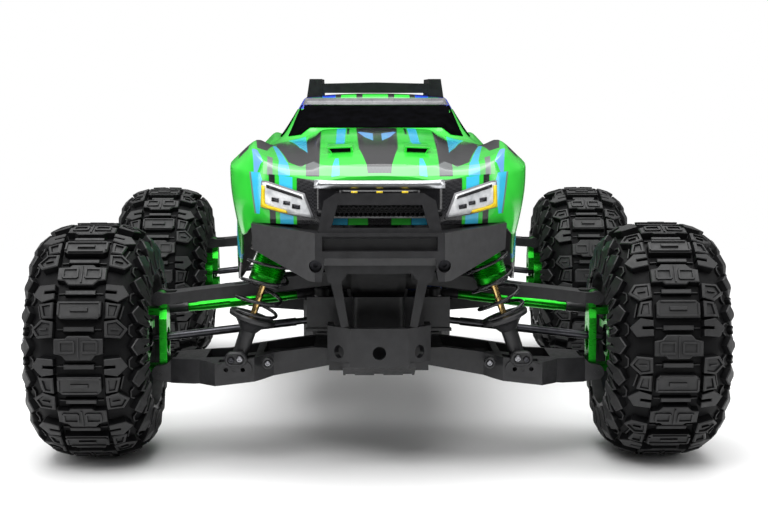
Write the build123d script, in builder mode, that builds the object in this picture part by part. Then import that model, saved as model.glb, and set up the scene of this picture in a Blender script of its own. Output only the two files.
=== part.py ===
"""Four-wheel-drive radio-controlled monster truck, millimetres.

+Z is up, the nose points along -Y, the truck's left side is +X. The origin is on the ground
under the middle of the truck. Corner pieces are drawn once at the front left, then mirrored.
"""

from math import acos, cos, hypot, pi, radians, sin, tan
import os

from build123d import *

os.makedirs("parts", exist_ok=True)

# ---------------------------------------------------------------- driving dimensions
WHEELBASE = 369.0
AXLE_Y = WHEELBASE / 2
FRONT_Y = -AXLE_Y
HUB_Z = 80.0
TYRE_R = 80.0
TYRE_HALF_W = 42.0
TYRE_X = 190.0
RIM_R = 47.3  # bead seat
RIM_FLANGE_R = 50.0

# Suspension: both arms, the half shaft and the toe link share one vector, so they stay parallel.
ARM = Vector(121.0, 0, -13.8)
LOWER_OUT = Vector(148.0, FRONT_Y, 59.0)
UPPER_OUT = Vector(148.0, FRONT_Y, 109.0)
KINGPIN_X = 160.0
LOWER_IN = LOWER_OUT - ARM
UPPER_IN = UPPER_OUT - ARM
SHAFT_OUT = Vector(KINGPIN_X, FRONT_Y, HUB_Z)
SHAFT_IN = SHAFT_OUT - ARM
STEER_ARM = 26.0  # kingpin to toe-link ball, straight back
TOE_OUT = Vector(KINGPIN_X, FRONT_Y + STEER_ARM, 95.0)
TOE_IN = TOE_OUT - ARM

SHOCK_Y = FRONT_Y - 30.0
SHOCK_TOP = Vector(60.0, SHOCK_Y, 168.0)
SHOCK_FOOT = Vector(95.0, SHOCK_Y, 66.0)
SHOCK_LENGTH = (SHOCK_FOOT - SHOCK_TOP).length
SHOCK_DIR = (SHOCK_FOOT - SHOCK_TOP).normalized()

RUN = 0.05  # radial clearance of a pin in its hole
PIN_R = 1.5
BALL_R = 3.1
BALL_SEAT_R = 3.35
CV_BALL_R = 7.0
CV_CUP_R = 7.4

FLOOR_Z = 66.0  # underside of the chassis tub
FLOOR_T = 3.0
SHAFT_Z = SHAFT_IN.Z  # centre driveline height
CRANK_X = 16.0
CRANK_Y = FRONT_Y + 44.0
RACK_Y = CRANK_Y + STEER_ARM
SPUR_TEETH = 38
PINION_TEETH = 14
MODULE = 1.0
SPUR_Y = 62.0
GEAR_W = 8.0
MOTOR_X = -(SPUR_TEETH + PINION_TEETH) * MODULE / 2
SHELL_T = 2.0
SKID_Z = 61.0
SKID_TOP_Z = 97.5
TOW_HOLE_R = 4.3
TOW_HOLE_Z = 81.5
BUMPER_SCREW = (39.8, 141.0)  # beside the middle, and height


# ---------------------------------------------------------------- small helpers
def side_plane(y, x=0.0, z=0.0):
    """Sketch plane facing forwards at depth y: sketch x is X, sketch y is Z, extrudes along -Y."""
    return Plane(origin=(x, y, z), x_dir=(1, 0, 0), z_dir=(0, -1, 0))


def across_plane(x, y=0.0, z=0.0):
    """Sketch plane facing +X: sketch x is Y, sketch y is Z, extrudes along +X."""
    return Plane(origin=(x, y, z), x_dir=(0, 1, 0), z_dir=(1, 0, 0))


def wheel_plane():
    """Plane through the wheel's axis: sketch x runs along the axle, sketch y is the radius."""
    return side_plane(FRONT_Y, TYRE_X, HUB_Z)


def outline(plane, points):
    """Flat face on this plane with this closed outline."""
    with BuildSketch(plane, mode=Mode.PRIVATE) as face:
        with BuildLine():
            Polyline(*points, close=True)
        make_face()
    return face.sketch


def write(name, shape):
    """Labels one sub-part and writes its STEP file."""
    shape.label = name
    export_step(shape, f"parts/{name}.step")


def mirrored_x(shape):
    return mirror(shape, about=Plane.YZ)


def mirrored_y(shape):
    return mirror(shape, about=Plane.XZ)


def write_pair(name, shape):
    """Left as drawn, right as its mirror image."""
    write(f"{name}_left", shape)
    write(f"{name}_right", mirrored_x(shape))


def write_corners(name, shape):
    write_pair(f"{name}_front", shape)
    write_pair(f"{name}_rear", mirrored_y(shape))


# ---------------------------------------------------------------- wheels
def make_tyre():
    """Hollow tyre carcass with rounded shoulders, open at the beads."""
    outer = [
        (26, TYRE_R), (37, 76), (TYRE_HALF_W, 66), (41, 56), (36.5, 50.5), (36.5, RIM_R + 0.05),
    ]
    inner = [(32.5, RIM_R + 0.05), (36, 57), (36.6, 66), (32.5, 71.5), (24, 74.5)]
    right = outer + inner
    left = [(-x, r) for x, r in reversed(right)]
    with BuildPart() as tyre:
        with BuildSketch(wheel_plane()):
            with BuildLine():
                Polyline(*right, *left, close=True)
            make_face()
        revolve(axis=Axis((TYRE_X, FRONT_Y, HUB_Z), (1, 0, 0)))
    return tyre.part


def make_rim():
    """Wheel with a dished six-window disc, and its stub axle, hex and nut as a second solid."""
    wall = 2.6
    drop_r = 43.5
    hub = (-7.8, -1.0)
    with BuildPart() as rim:
        with BuildSketch(wheel_plane()):
            with BuildLine():
                Polyline(
                    (-39, RIM_FLANGE_R), (-37, RIM_FLANGE_R), (-36.8, RIM_R), (-31, RIM_R),
                    (-28, drop_r), (28, drop_r), (31, RIM_R), (36.8, RIM_R), (37, RIM_FLANGE_R),
                    (39, RIM_FLANGE_R), (39, RIM_R - wall), (32, RIM_R - wall), (29, drop_r - wall),
                    (16, drop_r - wall), (hub[1], 13), (hub[1], 4.1), (hub[0], 4.1), (hub[0], 14),
                    (11, drop_r - wall), (-29, drop_r - wall), (-32, RIM_R - wall),
                    (-39, RIM_R - wall), close=True,
                )
            make_face()
        revolve(axis=Axis((TYRE_X, FRONT_Y, HUB_Z), (1, 0, 0)))
        with BuildSketch(across_plane(TYRE_X - 12, FRONT_Y, HUB_Z)):
            with PolarLocations(27, 6):
                SlotOverall(15, 11, rotation=0)
        extrude(amount=34, mode=Mode.SUBTRACT)
    with BuildPart() as axle:
        cup = KINGPIN_X - 5
        with BuildSketch(across_plane(cup, FRONT_Y, HUB_Z)):
            Circle(9.5)
        extrude(amount=13)
        with Locations((KINGPIN_X, FRONT_Y, HUB_Z)):
            Sphere(CV_CUP_R, mode=Mode.SUBTRACT)
        with BuildSketch(across_plane(cup, FRONT_Y, HUB_Z)):
            Circle(CV_CUP_R)
        extrude(amount=KINGPIN_X - cup, mode=Mode.SUBTRACT)
        with BuildSketch(across_plane(cup + 13, FRONT_Y, HUB_Z)):
            Circle(5)
        extrude(amount=6)
        with BuildSketch(across_plane(TYRE_X - 16, FRONT_Y, HUB_Z)):
            RegularPolygon(9.4, 6)
        extrude(amount=8)
        with BuildSketch(across_plane(TYRE_X - 8, FRONT_Y, HUB_Z)):
            Circle(4)
        extrude(amount=17)
        with BuildSketch(across_plane(TYRE_X - 0.8, FRONT_Y, HUB_Z)):
            RegularPolygon(9.6, 6)
        extrude(amount=7.5)
    return Compound(children=[rim.part, axle.part])


# ---------------------------------------------------------------- hubs
def cylinder_x(x_low, x_high, radius, mode=Mode.ADD):
    """Cylinder round the axle line, in the part being built."""
    with Locations(((x_low + x_high) / 2, FRONT_Y, HUB_Z)):
        Cylinder(radius, x_high - x_low, rotation=(0, 90, 0), mode=mode)


def cylinder_y(centre, radius, half_width, mode=Mode.ADD):
    """Cylinder along Y, centred on a pivot, in the part being built."""
    with Locations(centre):
        Cylinder(radius, 2 * half_width, rotation=(90, 0, 0), mode=mode)


def hub_barrel(x_start, bore_depth):
    """Bearing carrier round the stub axle, bored for its cup and its shaft."""
    cylinder_x(x_start, 173, 12.5)
    cylinder_x(x_start, x_start + bore_depth, 9.8, Mode.SUBTRACT)
    cylinder_x(x_start, 173, 5 + RUN, Mode.SUBTRACT)


def hub_web():
    """Upright plate joining the two arm pivots, with a window for the half shaft."""
    web = [(-9, 57), (9, 57), (9, 95), (5.5, 102), (5.5, 107), (-5.5, 107), (-5.5, 102), (-9, 95)]
    extrude(outline(across_plane(143, FRONT_Y, 0), web), amount=5)
    cylinder_y(LOWER_OUT, 4.5, 9)
    cylinder_y(UPPER_OUT, 4.2, 5.5)


def make_caster_block():
    """C-shaped hub carrier: it hangs between the two arms and holds the steering block's kingpins."""
    with BuildPart() as block:
        hub_web()
        for z in (58.0, 97.2):
            with BuildSketch(Plane.XY.offset(z)):
                with Locations((KINGPIN_X, FRONT_Y)):
                    Circle(5.5)
                with Locations((151.5, FRONT_Y)):
                    Rectangle(17, 11)
            extrude(amount=4.8)
        cylinder_y(LOWER_OUT, PIN_R + RUN, 20, Mode.SUBTRACT)
        cylinder_y(UPPER_OUT, PIN_R + RUN, 20, Mode.SUBTRACT)
        cylinder_x(140, 149, 8.5, Mode.SUBTRACT)
        with BuildSketch(Plane.XY.offset(50)):
            with Locations((KINGPIN_X, FRONT_Y)):
                Circle(2 + RUN)
        extrude(amount=60, mode=Mode.SUBTRACT)
    return block.part


def make_steering_block():
    """Bearing carrier that turns on two kingpins, with an arm back to the toe link's ball."""
    with BuildPart() as block:
        hub_barrel(156, 12.5)
        for sense in (-1, 1):
            with BuildSketch(Plane.XY.offset(HUB_Z + sense * 11)):
                with Locations((KINGPIN_X, FRONT_Y)):
                    Circle(3.9)
            extrude(amount=sense * 5.8)
            with BuildSketch(Plane.XY.offset(HUB_Z + sense * 16.8)):
                with Locations((KINGPIN_X, FRONT_Y)):
                    Circle(2)
            extrude(amount=sense * 5.2)
        with BuildSketch(Plane.XY.offset(84.5)):
            with Locations((KINGPIN_X, FRONT_Y + 17.5)):
                Rectangle(7, 17)
            with Locations((KINGPIN_X, FRONT_Y + STEER_ARM)):
                Circle(4)
        extrude(amount=5)
        with Locations((KINGPIN_X, FRONT_Y + STEER_ARM, 92)):
            Cylinder(1.6, 6)
        with Locations(TOE_OUT):
            Sphere(BALL_R)
    return block.part


def make_axle_carrier():
    """Rear hub carrier, drawn at the front corner like every mirrored piece; it doesn't steer."""
    with BuildPart() as carrier:
        hub_web()
        hub_barrel(148, 20.5)
        for sense in (-1, 1):
            with BuildSketch(across_plane(147, FRONT_Y, HUB_Z + sense * 14)):
                Rectangle(8, 10)
            extrude(amount=12)
        cylinder_x(140, 168.5, 9.8, Mode.SUBTRACT)
        cylinder_y(LOWER_OUT, PIN_R + RUN, 20, Mode.SUBTRACT)
        cylinder_y(UPPER_OUT, PIN_R + RUN, 20, Mode.SUBTRACT)
    return carrier.part


# ---------------------------------------------------------------- arms
def arm_blank(side, plan, y_low, y_high):
    """Solid with this outline from the front and this one from above, depths from the axle."""
    extrude(outline(side_plane(FRONT_Y + y_high), side), amount=y_high - y_low)
    above = outline(Plane.XY.offset(40), [(x, FRONT_Y + y) for x, y in plan])
    extrude(above, amount=110, mode=Mode.INTERSECT)


def pocket(x, y, length, width, z_low, z_high):
    """Rectangular pocket, centred at x and y from the axle."""
    with Locations((x, FRONT_Y + y, (z_low + z_high) / 2)):
        Box(length, width, z_high - z_low, mode=Mode.SUBTRACT)


def make_lower_arm():
    """Deep moulded lower arm: pocketed plate, inner barrels, outer fork and the shock's clevis."""
    side = [
        (27, 78), (44, 78.6), (87, 73), (103, 70.3), (139, 69.2), (143, 65), (148, 64),
        (148, 54), (139, 52.5), (124, 53), (76, 58.6), (30, 67.2), (27, 67.6),
    ]
    plan = [
        (21, -27), (70, -27), (82, -39), (108, -39), (120, -22), (140, -14.5), (156, -14.5),
        (156, 14.5), (140, 14.5), (110, 22), (60, 27), (21, 27),
    ]
    with BuildPart() as arm:
        arm_blank(side, plan, -39, 27)
        cylinder_y(LOWER_OUT, 5.0, 14.5)
        cylinder_y(LOWER_IN, 5.3, 27)
        pocket(148, 0, 22, 18.8, 40, 80)  # outer fork
        pocket(22, 0, 24, 28, 40, 90)  # between the inner barrels
        pocket(94, -30, 24, 10, 59.5, 90)  # shock clevis
        pocket(60, 0, 34, 40, 70, 90)  # top pockets
        pocket(99, 2, 34, 34, 64.5, 90)
        cylinder_y(LOWER_OUT, PIN_R - 0.02, 20, Mode.SUBTRACT)
        cylinder_y(LOWER_IN, PIN_R + RUN, 40, Mode.SUBTRACT)
        with BuildSketch(side_plane(FRONT_Y - 38.9, 0, 0)):
            with BuildLine():
                Line((88, 61.5), (102, 60.5))
                ThreePointArc((102, 60.5), (106.5, 65.5), (102, 70.5))
                Line((102, 70.5), (88, 71.5))
                ThreePointArc((88, 71.5), (83.5, 66.5), (88, 61.5))
            make_face()
        extrude(amount=1.6)
        with BuildSketch(side_plane(FRONT_Y - 20)):
            for x in (89.5, 95, 100.5):
                with Locations((x, 66)):
                    Circle(PIN_R)
        extrude(amount=30, mode=Mode.SUBTRACT)
    with BuildPart() as pin:
        with BuildSketch(side_plane(FRONT_Y - 22, SHOCK_FOOT.X, SHOCK_FOOT.Z)):
            Circle(PIN_R - 0.02)
        extrude(amount=18)
    with BuildPart() as outer_pin:
        with BuildSketch(side_plane(FRONT_Y, LOWER_OUT.X, LOWER_OUT.Z)):
            Circle(PIN_R - 0.05)
        extrude(amount=14.5, both=True)
    return Compound(children=[arm.part, pin.part, outer_pin.part])


def make_upper_arm():
    """A-shaped upper arm, set behind the shock, with a fork at the hub and two inner legs."""
    side = [
        (27, 128), (60, 123.5), (92, 118), (140, 112.8), (148, 112.6),
        (148, 105.4), (140, 105.6), (92, 109.5), (60, 114.6), (27, 118.4),
    ]
    plan = [
        (20, -7), (120, -7), (140, -10.5), (156, -10.5), (156, 10.5), (140, 10.5),
        (112, 13), (60, 18), (20, 18),
    ]
    with BuildPart() as arm:
        arm_blank(side, plan, -10.5, 18)
        cylinder_y(UPPER_OUT, 4.6, 10.5)
        with BuildSketch(side_plane(FRONT_Y + 18, UPPER_IN.X, UPPER_IN.Z)):
            Circle(5.2)
        extrude(amount=25)
        pocket(146, 0, 18, 11.8, 90, 130)  # fork
        pocket(24, 6.1, 38, 9.8, 90, 140)  # between the legs, inner end
        window = [(42.9, 1.2), (98, 1.2), (98, 5), (60, 11), (42.9, 11)]
        extrude(
            outline(Plane.XY.offset(90), [(x, FRONT_Y + y) for x, y in window]),
            amount=50, mode=Mode.SUBTRACT,
        )
        cylinder_y(UPPER_OUT, PIN_R - 0.02, 20, Mode.SUBTRACT)
        cylinder_y(UPPER_IN, PIN_R + RUN, 40, Mode.SUBTRACT)
    with BuildPart() as outer_pin:
        with BuildSketch(side_plane(FRONT_Y, UPPER_OUT.X, UPPER_OUT.Z)):
            Circle(PIN_R - 0.05)
        extrude(amount=10.5, both=True)
    return Compound(children=[arm.part, outer_pin.part])


# ---------------------------------------------------------------- shafts and links
def along(start, end):
    """Plane at start whose normal points at end."""
    return Plane(origin=start, z_dir=(end - start).normalized())


def make_half_shaft():
    """Axle half shaft with a drive ball at each end, turned from one profile."""
    length = ARM.length
    with BuildPart() as shaft:
        with BuildSketch(Plane(origin=SHAFT_IN, x_dir=ARM, z_dir=(0, -1, 0))):
            with Locations((0, 0), (length, 0)):
                Circle(CV_BALL_R)
            with Locations((length / 2, 0)):
                Rectangle(length, 4.6)
                Rectangle(length - 34, 5.6)
            with Locations((length / 2, -20)):
                Rectangle(2 * length, 40, mode=Mode.SUBTRACT)
        revolve(axis=Axis(SHAFT_IN, ARM))
    return shaft.part


def make_toe_link():
    """Steering link: an alloy tube between two ball-ended plastic rod ends."""
    base = along(TOE_IN, TOE_OUT)
    length = ARM.length
    with BuildPart() as link:
        with BuildSketch(base.offset(5)):
            Circle(2.8)
        extrude(amount=length - 10)
        with BuildSketch(base.offset(22)):
            Circle(3.4)
        extrude(amount=length - 44)
        for end in (TOE_IN, TOE_OUT):
            with Locations(end):
                Cylinder(5.4, 6)
        for end in (TOE_IN, TOE_OUT):
            with Locations(end):
                Cylinder(BALL_SEAT_R, 10, mode=Mode.SUBTRACT)
    return link.part


# ---------------------------------------------------------------- shocks
COLLAR_D = 26.0  # distances down the shock from its top pivot
BORE_D = 14.5
PISTON_D = 35.4
BODY_END_D = 47.0
PERCH_D = SHOCK_LENGTH - 37.0
BOOT_END_D = SHOCK_LENGTH - 9.0
ROD_R = 2.2
SPRING_R = 14.6
WIRE_R = 1.1
SPRING_TURNS = 4


def shock_plane(distance):
    """Plane across the shock at this distance down from its top pivot."""
    return Plane(
        origin=SHOCK_TOP + SHOCK_DIR * distance, x_dir=(0, 1, 0), z_dir=SHOCK_DIR
    )


def make_shock_body():
    """Damper cylinder with its top eye, cap, threaded spring collar and hollow for the piston."""
    with BuildPart() as body:
        with BuildSketch(shock_plane(5)):
            Circle(7)
        extrude(amount=6)
        with BuildSketch(shock_plane(8)):
            Circle(12)
        extrude(amount=10)
        with BuildSketch(shock_plane(18)):
            Circle(11)
        extrude(amount=BODY_END_D - 18)
        with BuildSketch(shock_plane(20)):
            Circle(16.2)
        extrude(amount=COLLAR_D - 20)
        with BuildSketch(shock_plane(BODY_END_D)):
            Circle(9)
        extrude(amount=2.6)
        with BuildSketch(side_plane(SHOCK_Y, SHOCK_TOP.X, SHOCK_TOP.Z)):
            Circle(6.5)
        extrude(amount=4.5, both=True)
        with BuildSketch(side_plane(SHOCK_Y, SHOCK_TOP.X, SHOCK_TOP.Z)):
            Circle(2 + RUN)
        extrude(amount=6, both=True, mode=Mode.SUBTRACT)
        with BuildSketch(shock_plane(BORE_D)):
            Circle(9.2)
        extrude(amount=BODY_END_D - 2.2 - BORE_D, mode=Mode.SUBTRACT)
        with BuildSketch(shock_plane(BODY_END_D - 6)):
            Circle(ROD_R + RUN)
        extrude(amount=12, mode=Mode.SUBTRACT)
    return body.part


def make_shock_rod():
    """Piston and rod with the lower spring perch and the rod end that pins to the arm."""
    with BuildPart() as rod:
        with BuildSketch(shock_plane(PISTON_D)):
            Circle(9.1)
        extrude(amount=3)
        with BuildSketch(shock_plane(PISTON_D)):
            Circle(ROD_R)
        extrude(amount=SHOCK_LENGTH - PISTON_D - 6)
        with BuildSketch(shock_plane(PERCH_D)):
            Circle(15.6)
        extrude(amount=4, taper=12)
        with BuildSketch(shock_plane(PERCH_D + 3)):
            Circle(10)
        extrude(amount=8, taper=28)
        with BuildSketch(shock_plane(PERCH_D + 10)):
            Circle(5.2)
        extrude(amount=BOOT_END_D - PERCH_D - 10)
        with BuildSketch(shock_plane(BOOT_END_D)):
            Circle(4.4)
        extrude(amount=5)
        with BuildSketch(side_plane(SHOCK_Y, SHOCK_FOOT.X, SHOCK_FOOT.Z)):
            Circle(5.2)
        extrude(amount=4.5, both=True)
        with BuildSketch(side_plane(SHOCK_Y, SHOCK_FOOT.X, SHOCK_FOOT.Z)):
            Circle(PIN_R + 0.7)
        extrude(amount=6, both=True, mode=Mode.SUBTRACT)
    return rod.part


def make_shock_spring():
    """Coil spring between the collar and the perch."""
    margin = WIRE_R + 0.15
    length = PERCH_D - COLLAR_D - 2 * margin
    with BuildPart() as spring:
        with BuildLine() as coil:
            Helix(
                pitch=length / SPRING_TURNS, height=length, radius=SPRING_R,
                center=SHOCK_TOP + SHOCK_DIR * (COLLAR_D + margin), direction=SHOCK_DIR,
            )
        with BuildSketch(Plane(origin=coil.line @ 0, z_dir=coil.line % 0)):
            Circle(WIRE_R)
        sweep(path=coil.line, is_frenet=True)
    return spring.part


# ---------------------------------------------------------------- steering
def make_crank(x, hub_low):
    """Steering crank: hub at the pivot and a pin down through the rack."""
    with BuildPart() as crank:
        with BuildSketch(Plane.XY.offset(104.5)):
            with Locations((x, CRANK_Y + STEER_ARM / 2)):
                Rectangle(8, STEER_ARM)
            with Locations((x, CRANK_Y)):
                Circle(5.5)
            with Locations((x, RACK_Y)):
                Circle(4.5)
        extrude(amount=4)
        with BuildSketch(Plane.XY.offset(hub_low)):
            with Locations((x, CRANK_Y)):
                Circle(5)
        extrude(amount=105 - hub_low)
        with BuildSketch(Plane.XY.offset(99)):
            with Locations((x, RACK_Y)):
                Circle(2)
        extrude(amount=6)
    return crank.part


def make_idler_crank():
    with BuildPart() as crank:
        add(make_crank(CRANK_X, 98.5))
        with Locations((CRANK_X, CRANK_Y, 104)):
            Cylinder(3 + RUN, 20, mode=Mode.SUBTRACT)
    return crank.part


def make_drag_link():
    """Rack that joins both cranks and carries the toe links' inner balls."""
    with BuildPart() as rack:
        with BuildSketch(Plane.XY.offset(100.2)):
            with Locations((0, RACK_Y)):
                Rectangle(2 * TOE_IN.X + 8, 9)
            for sense in (-1, 1):
                with Locations((sense * TOE_IN.X, (RACK_Y + TOE_IN.Y) / 2)):
                    Rectangle(8, RACK_Y - TOE_IN.Y + 8)
        extrude(amount=3.5)
        with Locations(*[(s * TOE_IN.X, TOE_IN.Y, 105.4) for s in (-1, 1)]):
            Cylinder(1.6, 6)
        with Locations(*[(s * TOE_IN.X, TOE_IN.Y, TOE_IN.Z) for s in (-1, 1)]):
            Sphere(BALL_R)
        with Locations(*[(s * CRANK_X, RACK_Y, 102) for s in (-1, 1)]):
            Cylinder(2 + RUN, 20, mode=Mode.SUBTRACT)
    return rack.part


def make_servo():
    """Steering servo: case with side lugs and an output boss under its horn."""
    with BuildPart() as servo:
        with Locations((-17.5, CRANK_Y + 12, (FLOOR_Z + FLOOR_T + 96) / 2)):
            Box(20, 40, 96 - FLOOR_Z - FLOOR_T - 0.2)
        with Locations((-17.5, CRANK_Y + 15.5, 88)):
            Box(20, 46, 3)
        fillet(servo.edges().filter_by(Axis.Z), 1.2)
        with Locations((-CRANK_X, CRANK_Y, 97)):
            Cylinder(4.5, 2.6)
    return servo.part


# ---------------------------------------------------------------- driveline
def involute(base_r, radius):
    """Polar angle of an involute at this radius, in radians."""
    ratio = acos(base_r / radius)
    return tan(ratio) - ratio


def gear_outline(teeth, backlash=0.096, steps=5):
    """Closed list of points round an involute spur gear, a tooth centred on angle zero."""
    pitch_r = teeth * MODULE / 2
    base_r = pitch_r * cos(radians(20))
    tip_r = pitch_r + 0.9 * MODULE
    root_r = pitch_r - 1.2 * MODULE
    start_r = max(base_r, root_r + 0.15)
    half = pi / (2 * teeth) + involute(base_r, pitch_r) - backlash / pitch_r
    flank = []
    for k in range(steps + 1):
        r = start_r + (tip_r - start_r) * k / steps
        flank.append((half - involute(base_r, r), r))
    points = []
    for tooth in range(teeth):
        centre = 2 * pi * tooth / teeth
        points.append((centre - flank[0][0] - 0.02, root_r))
        points += [(centre - a, r) for a, r in flank]
        points += [(centre + a, r) for a, r in reversed(flank)]
        points.append((centre + flank[0][0] + 0.02, root_r))
    return points


def turned(points, turn):
    """Polar points turned by this angle, in radians, as X and Y."""
    return [(r * cos(a + turn), r * sin(a + turn)) for a, r in points]


def make_spur_gear():
    with BuildPart() as gear:
        with BuildSketch(side_plane(SPUR_Y + GEAR_W, 0, SHAFT_Z)):
            with BuildLine():
                Polyline(*turned(gear_outline(SPUR_TEETH), pi), close=True)
            make_face()
            Circle(5 + 0.02, mode=Mode.SUBTRACT)
            with PolarLocations(11.5, 6):
                Circle(3.2, mode=Mode.SUBTRACT)
        extrude(amount=GEAR_W)
    return gear.part


def make_motor_pinion():
    """Pinion and the motor's shaft. A gap between two teeth faces the spur gear."""
    with BuildPart() as pinion:
        with BuildSketch(side_plane(SPUR_Y + GEAR_W, MOTOR_X, SHAFT_Z)):
            with BuildLine():
                Polyline(*turned(gear_outline(PINION_TEETH), pi / PINION_TEETH), close=True)
            make_face()
        extrude(amount=GEAR_W)
        with BuildSketch(side_plane(SPUR_Y + GEAR_W + 2, MOTOR_X, SHAFT_Z)):
            Circle(2.5)
        extrude(amount=84)
    return pinion.part


def make_centre_shaft():
    """Driveline shaft from the front gearbox to the rear one, with couplings and a spur hub."""
    reach = AXLE_Y - 25.0
    with BuildPart() as shaft:
        with BuildSketch(side_plane(reach, 0, SHAFT_Z)):
            Circle(3.4)
        extrude(amount=2 * reach)
        for low, high, radius in (
            (-reach, -reach + 10, 5.5), (reach - 10, reach, 5.5),
            (SPUR_Y, SPUR_Y + GEAR_W, 5.0), (SPUR_Y + GEAR_W + 0.05, SPUR_Y + GEAR_W + 4, 8.5),
        ):
            with BuildSketch(side_plane(high, 0, SHAFT_Z)):
                Circle(radius)
            extrude(amount=high - low)
    return shaft.part


def make_motor():
    """Brushless motor can with end bells and cooling fins, bored for the rotor shaft."""
    with BuildPart() as motor:
        with BuildSketch(side_plane(55.5, MOTOR_X, SHAFT_Z)):
            Circle(18.5)
        extrude(amount=68)
        for k in range(9):
            with BuildSketch(side_plane(46 - 5.5 * k, MOTOR_X, SHAFT_Z)):
                Circle(19)
                Circle(17.4, mode=Mode.SUBTRACT)
            extrude(amount=1.6, mode=Mode.SUBTRACT)
        with BuildSketch(side_plane(60, MOTOR_X, SHAFT_Z)):
            Circle(2.5 + RUN)
        extrude(amount=80, mode=Mode.SUBTRACT)
    return motor.part


# ---------------------------------------------------------------- chassis
def make_gearbox():
    """Differential housing and bulkhead: diff cups, hinge-pin brackets and the input boss."""
    with BuildPart() as box:
        with BuildSketch(Plane.XY.offset(66.2)):
            with Locations((0, FRONT_Y - 5)):
                Rectangle(35, 44)
        extrude(amount=46)
        fillet(box.edges().filter_by(Axis.Z), 5)
        with BuildSketch(Plane.XY.offset(112)):
            with Locations((0, FRONT_Y + 3.2)):
                Rectangle(37, 21)
        extrude(amount=22)
        with BuildSketch(Plane.XY.offset(114)):
            with Locations((0, FRONT_Y + 6.1)):
                Rectangle(64, 9.4)
        extrude(amount=16)
        with BuildSketch(Plane.XY.offset(64)):
            with Locations((0, FRONT_Y)):
                Rectangle(44, 64)
        extrude(amount=2.6)
        for y in (-30.2, 30.2):
            with BuildSketch(side_plane(FRONT_Y + y)):
                with BuildLine():
                    Polyline((-33, 64), (33, 64), (33, 76), (28, 80), (-28, 80), (-33, 76),
                             close=True)
                make_face()
            extrude(amount=2.2, both=True)
        for sense in (-1, 1):
            with Locations((sense * 32, FRONT_Y - 16.2, 99.8)):
                Box(32, 3.6, 22.4)
            with Locations((sense * 32, FRONT_Y - 17, 89.2)):
                Box(34, 5.2, 1.8)
        for sense in (-1, 1):
            with BuildSketch(across_plane(sense * 15, FRONT_Y, SHAFT_Z)):
                Circle(9.6)
            extrude(amount=sense * (SHAFT_IN.X + 2.5 - 15))
        for sense in (-1, 1):
            with BuildSketch(across_plane(sense * SHAFT_IN.X, FRONT_Y, SHAFT_Z)):
                Circle(CV_CUP_R)
            extrude(amount=sense * 6, mode=Mode.SUBTRACT)
            with Locations((sense * SHAFT_IN.X, FRONT_Y, SHAFT_Z)):
                Sphere(CV_CUP_R, mode=Mode.SUBTRACT)
        with BuildSketch(side_plane(FRONT_Y + 24.3, 0, SHAFT_Z)):
            Circle(8)
        extrude(amount=10)
        for sense in (-1, 1):
            for pivot, half in ((LOWER_IN, 40), (UPPER_IN, 40)):
                with BuildSketch(side_plane(FRONT_Y, sense * pivot.X, pivot.Z)):
                    Circle(PIN_R + RUN)
                extrude(amount=half, both=True, mode=Mode.SUBTRACT)
    return box.part


def make_shock_tower():
    """Plate behind the shocks with its two pivot studs, and two posts that carry the body shell."""
    half = [(12, 114), (17, 134), (34, 143), (69, 158), (69, 174), (52, 176), (24, 158), (12, 156)]
    whole = half + [(-x, z) for x, z in reversed(half)]
    with BuildPart() as tower:
        with BuildSketch(side_plane(FRONT_Y - 7.4)):
            with BuildLine():
                Polyline(*whole, close=True)
            make_face()
            with Locations((0, 136)):
                Circle(6, mode=Mode.SUBTRACT)
        extrude(amount=5)
        for sense in (-1, 1):
            with BuildSketch(side_plane(FRONT_Y - 12, sense * SHOCK_TOP.X, SHOCK_TOP.Z)):
                Circle(2)
            extrude(amount=24)
            with BuildSketch(side_plane(FRONT_Y - 12, sense * SHOCK_TOP.X, SHOCK_TOP.Z)):
                Circle(5)
            extrude(amount=13)
        with BuildSketch(Plane.XY.offset(152)):
            for sense in (-1, 1):
                with Locations((sense * 20, FRONT_Y - 9.9)):
                    Circle(4.5)
        extrude(amount=44)
    return tower.part


def make_skid_plate():
    """Skid under the gearbox, ramped up into a faceted nose with three holes."""
    nose = [(-33.5, -238), (-18.5, -252), (18.5, -252), (33.5, -238)]
    hollow = [(-29.5, -236), (-17, -248), (17, -248), (29.5, -236), (29.5, -215), (-29.5, -215)]
    ramp = [(-218, SKID_Z), (-251, 72), (-251, 75), (-218, SKID_Z + 2.9)]
    below = [(-218, SKID_Z), (-254, 73), (-254, SKID_Z - 1), (-218, SKID_Z - 1)]
    low_half_w = 23.5
    with BuildPart() as skid:
        with Locations((0, -190, SKID_Z + 1.45)):
            Box(2 * low_half_w, 76, 2.9)
        block = nose + [(33.5, -222), (-33.5, -222)]
        extrude(outline(Plane.XY.offset(SKID_Z), block), amount=SKID_TOP_Z - SKID_Z)
        extrude(outline(Plane.XY.offset(SKID_Z + 2.9), hollow), amount=40, mode=Mode.SUBTRACT)
        extrude(outline(across_plane(-low_half_w), ramp), amount=2 * low_half_w)
        extrude(outline(across_plane(-40), below), amount=80, mode=Mode.SUBTRACT)
        for sense in (-1, 1):
            with Locations((sense * (low_half_w + 10), -238, 67.5)):
                Box(20, 40, 14, mode=Mode.SUBTRACT)
        with BuildSketch(side_plane(-215)):
            with Locations((0, TOW_HOLE_Z)):
                Circle(TOW_HOLE_R)
        extrude(amount=50, mode=Mode.SUBTRACT)
        for sense in (-1, 1):
            facet = Plane(
                origin=(sense * 26, -245, TOW_HOLE_Z), x_dir=(0, 0, 1), z_dir=(sense * 14, -15, 0)
            )
            with BuildSketch(facet.offset(-8)):
                Circle(TOW_HOLE_R)
            extrude(amount=16, mode=Mode.SUBTRACT)
        with Locations((-19, -224, 62), (0, -224, 62), (19, -224, 62)):
            Box(6, 20, 5, mode=Mode.SUBTRACT)
    return skid.part


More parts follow.
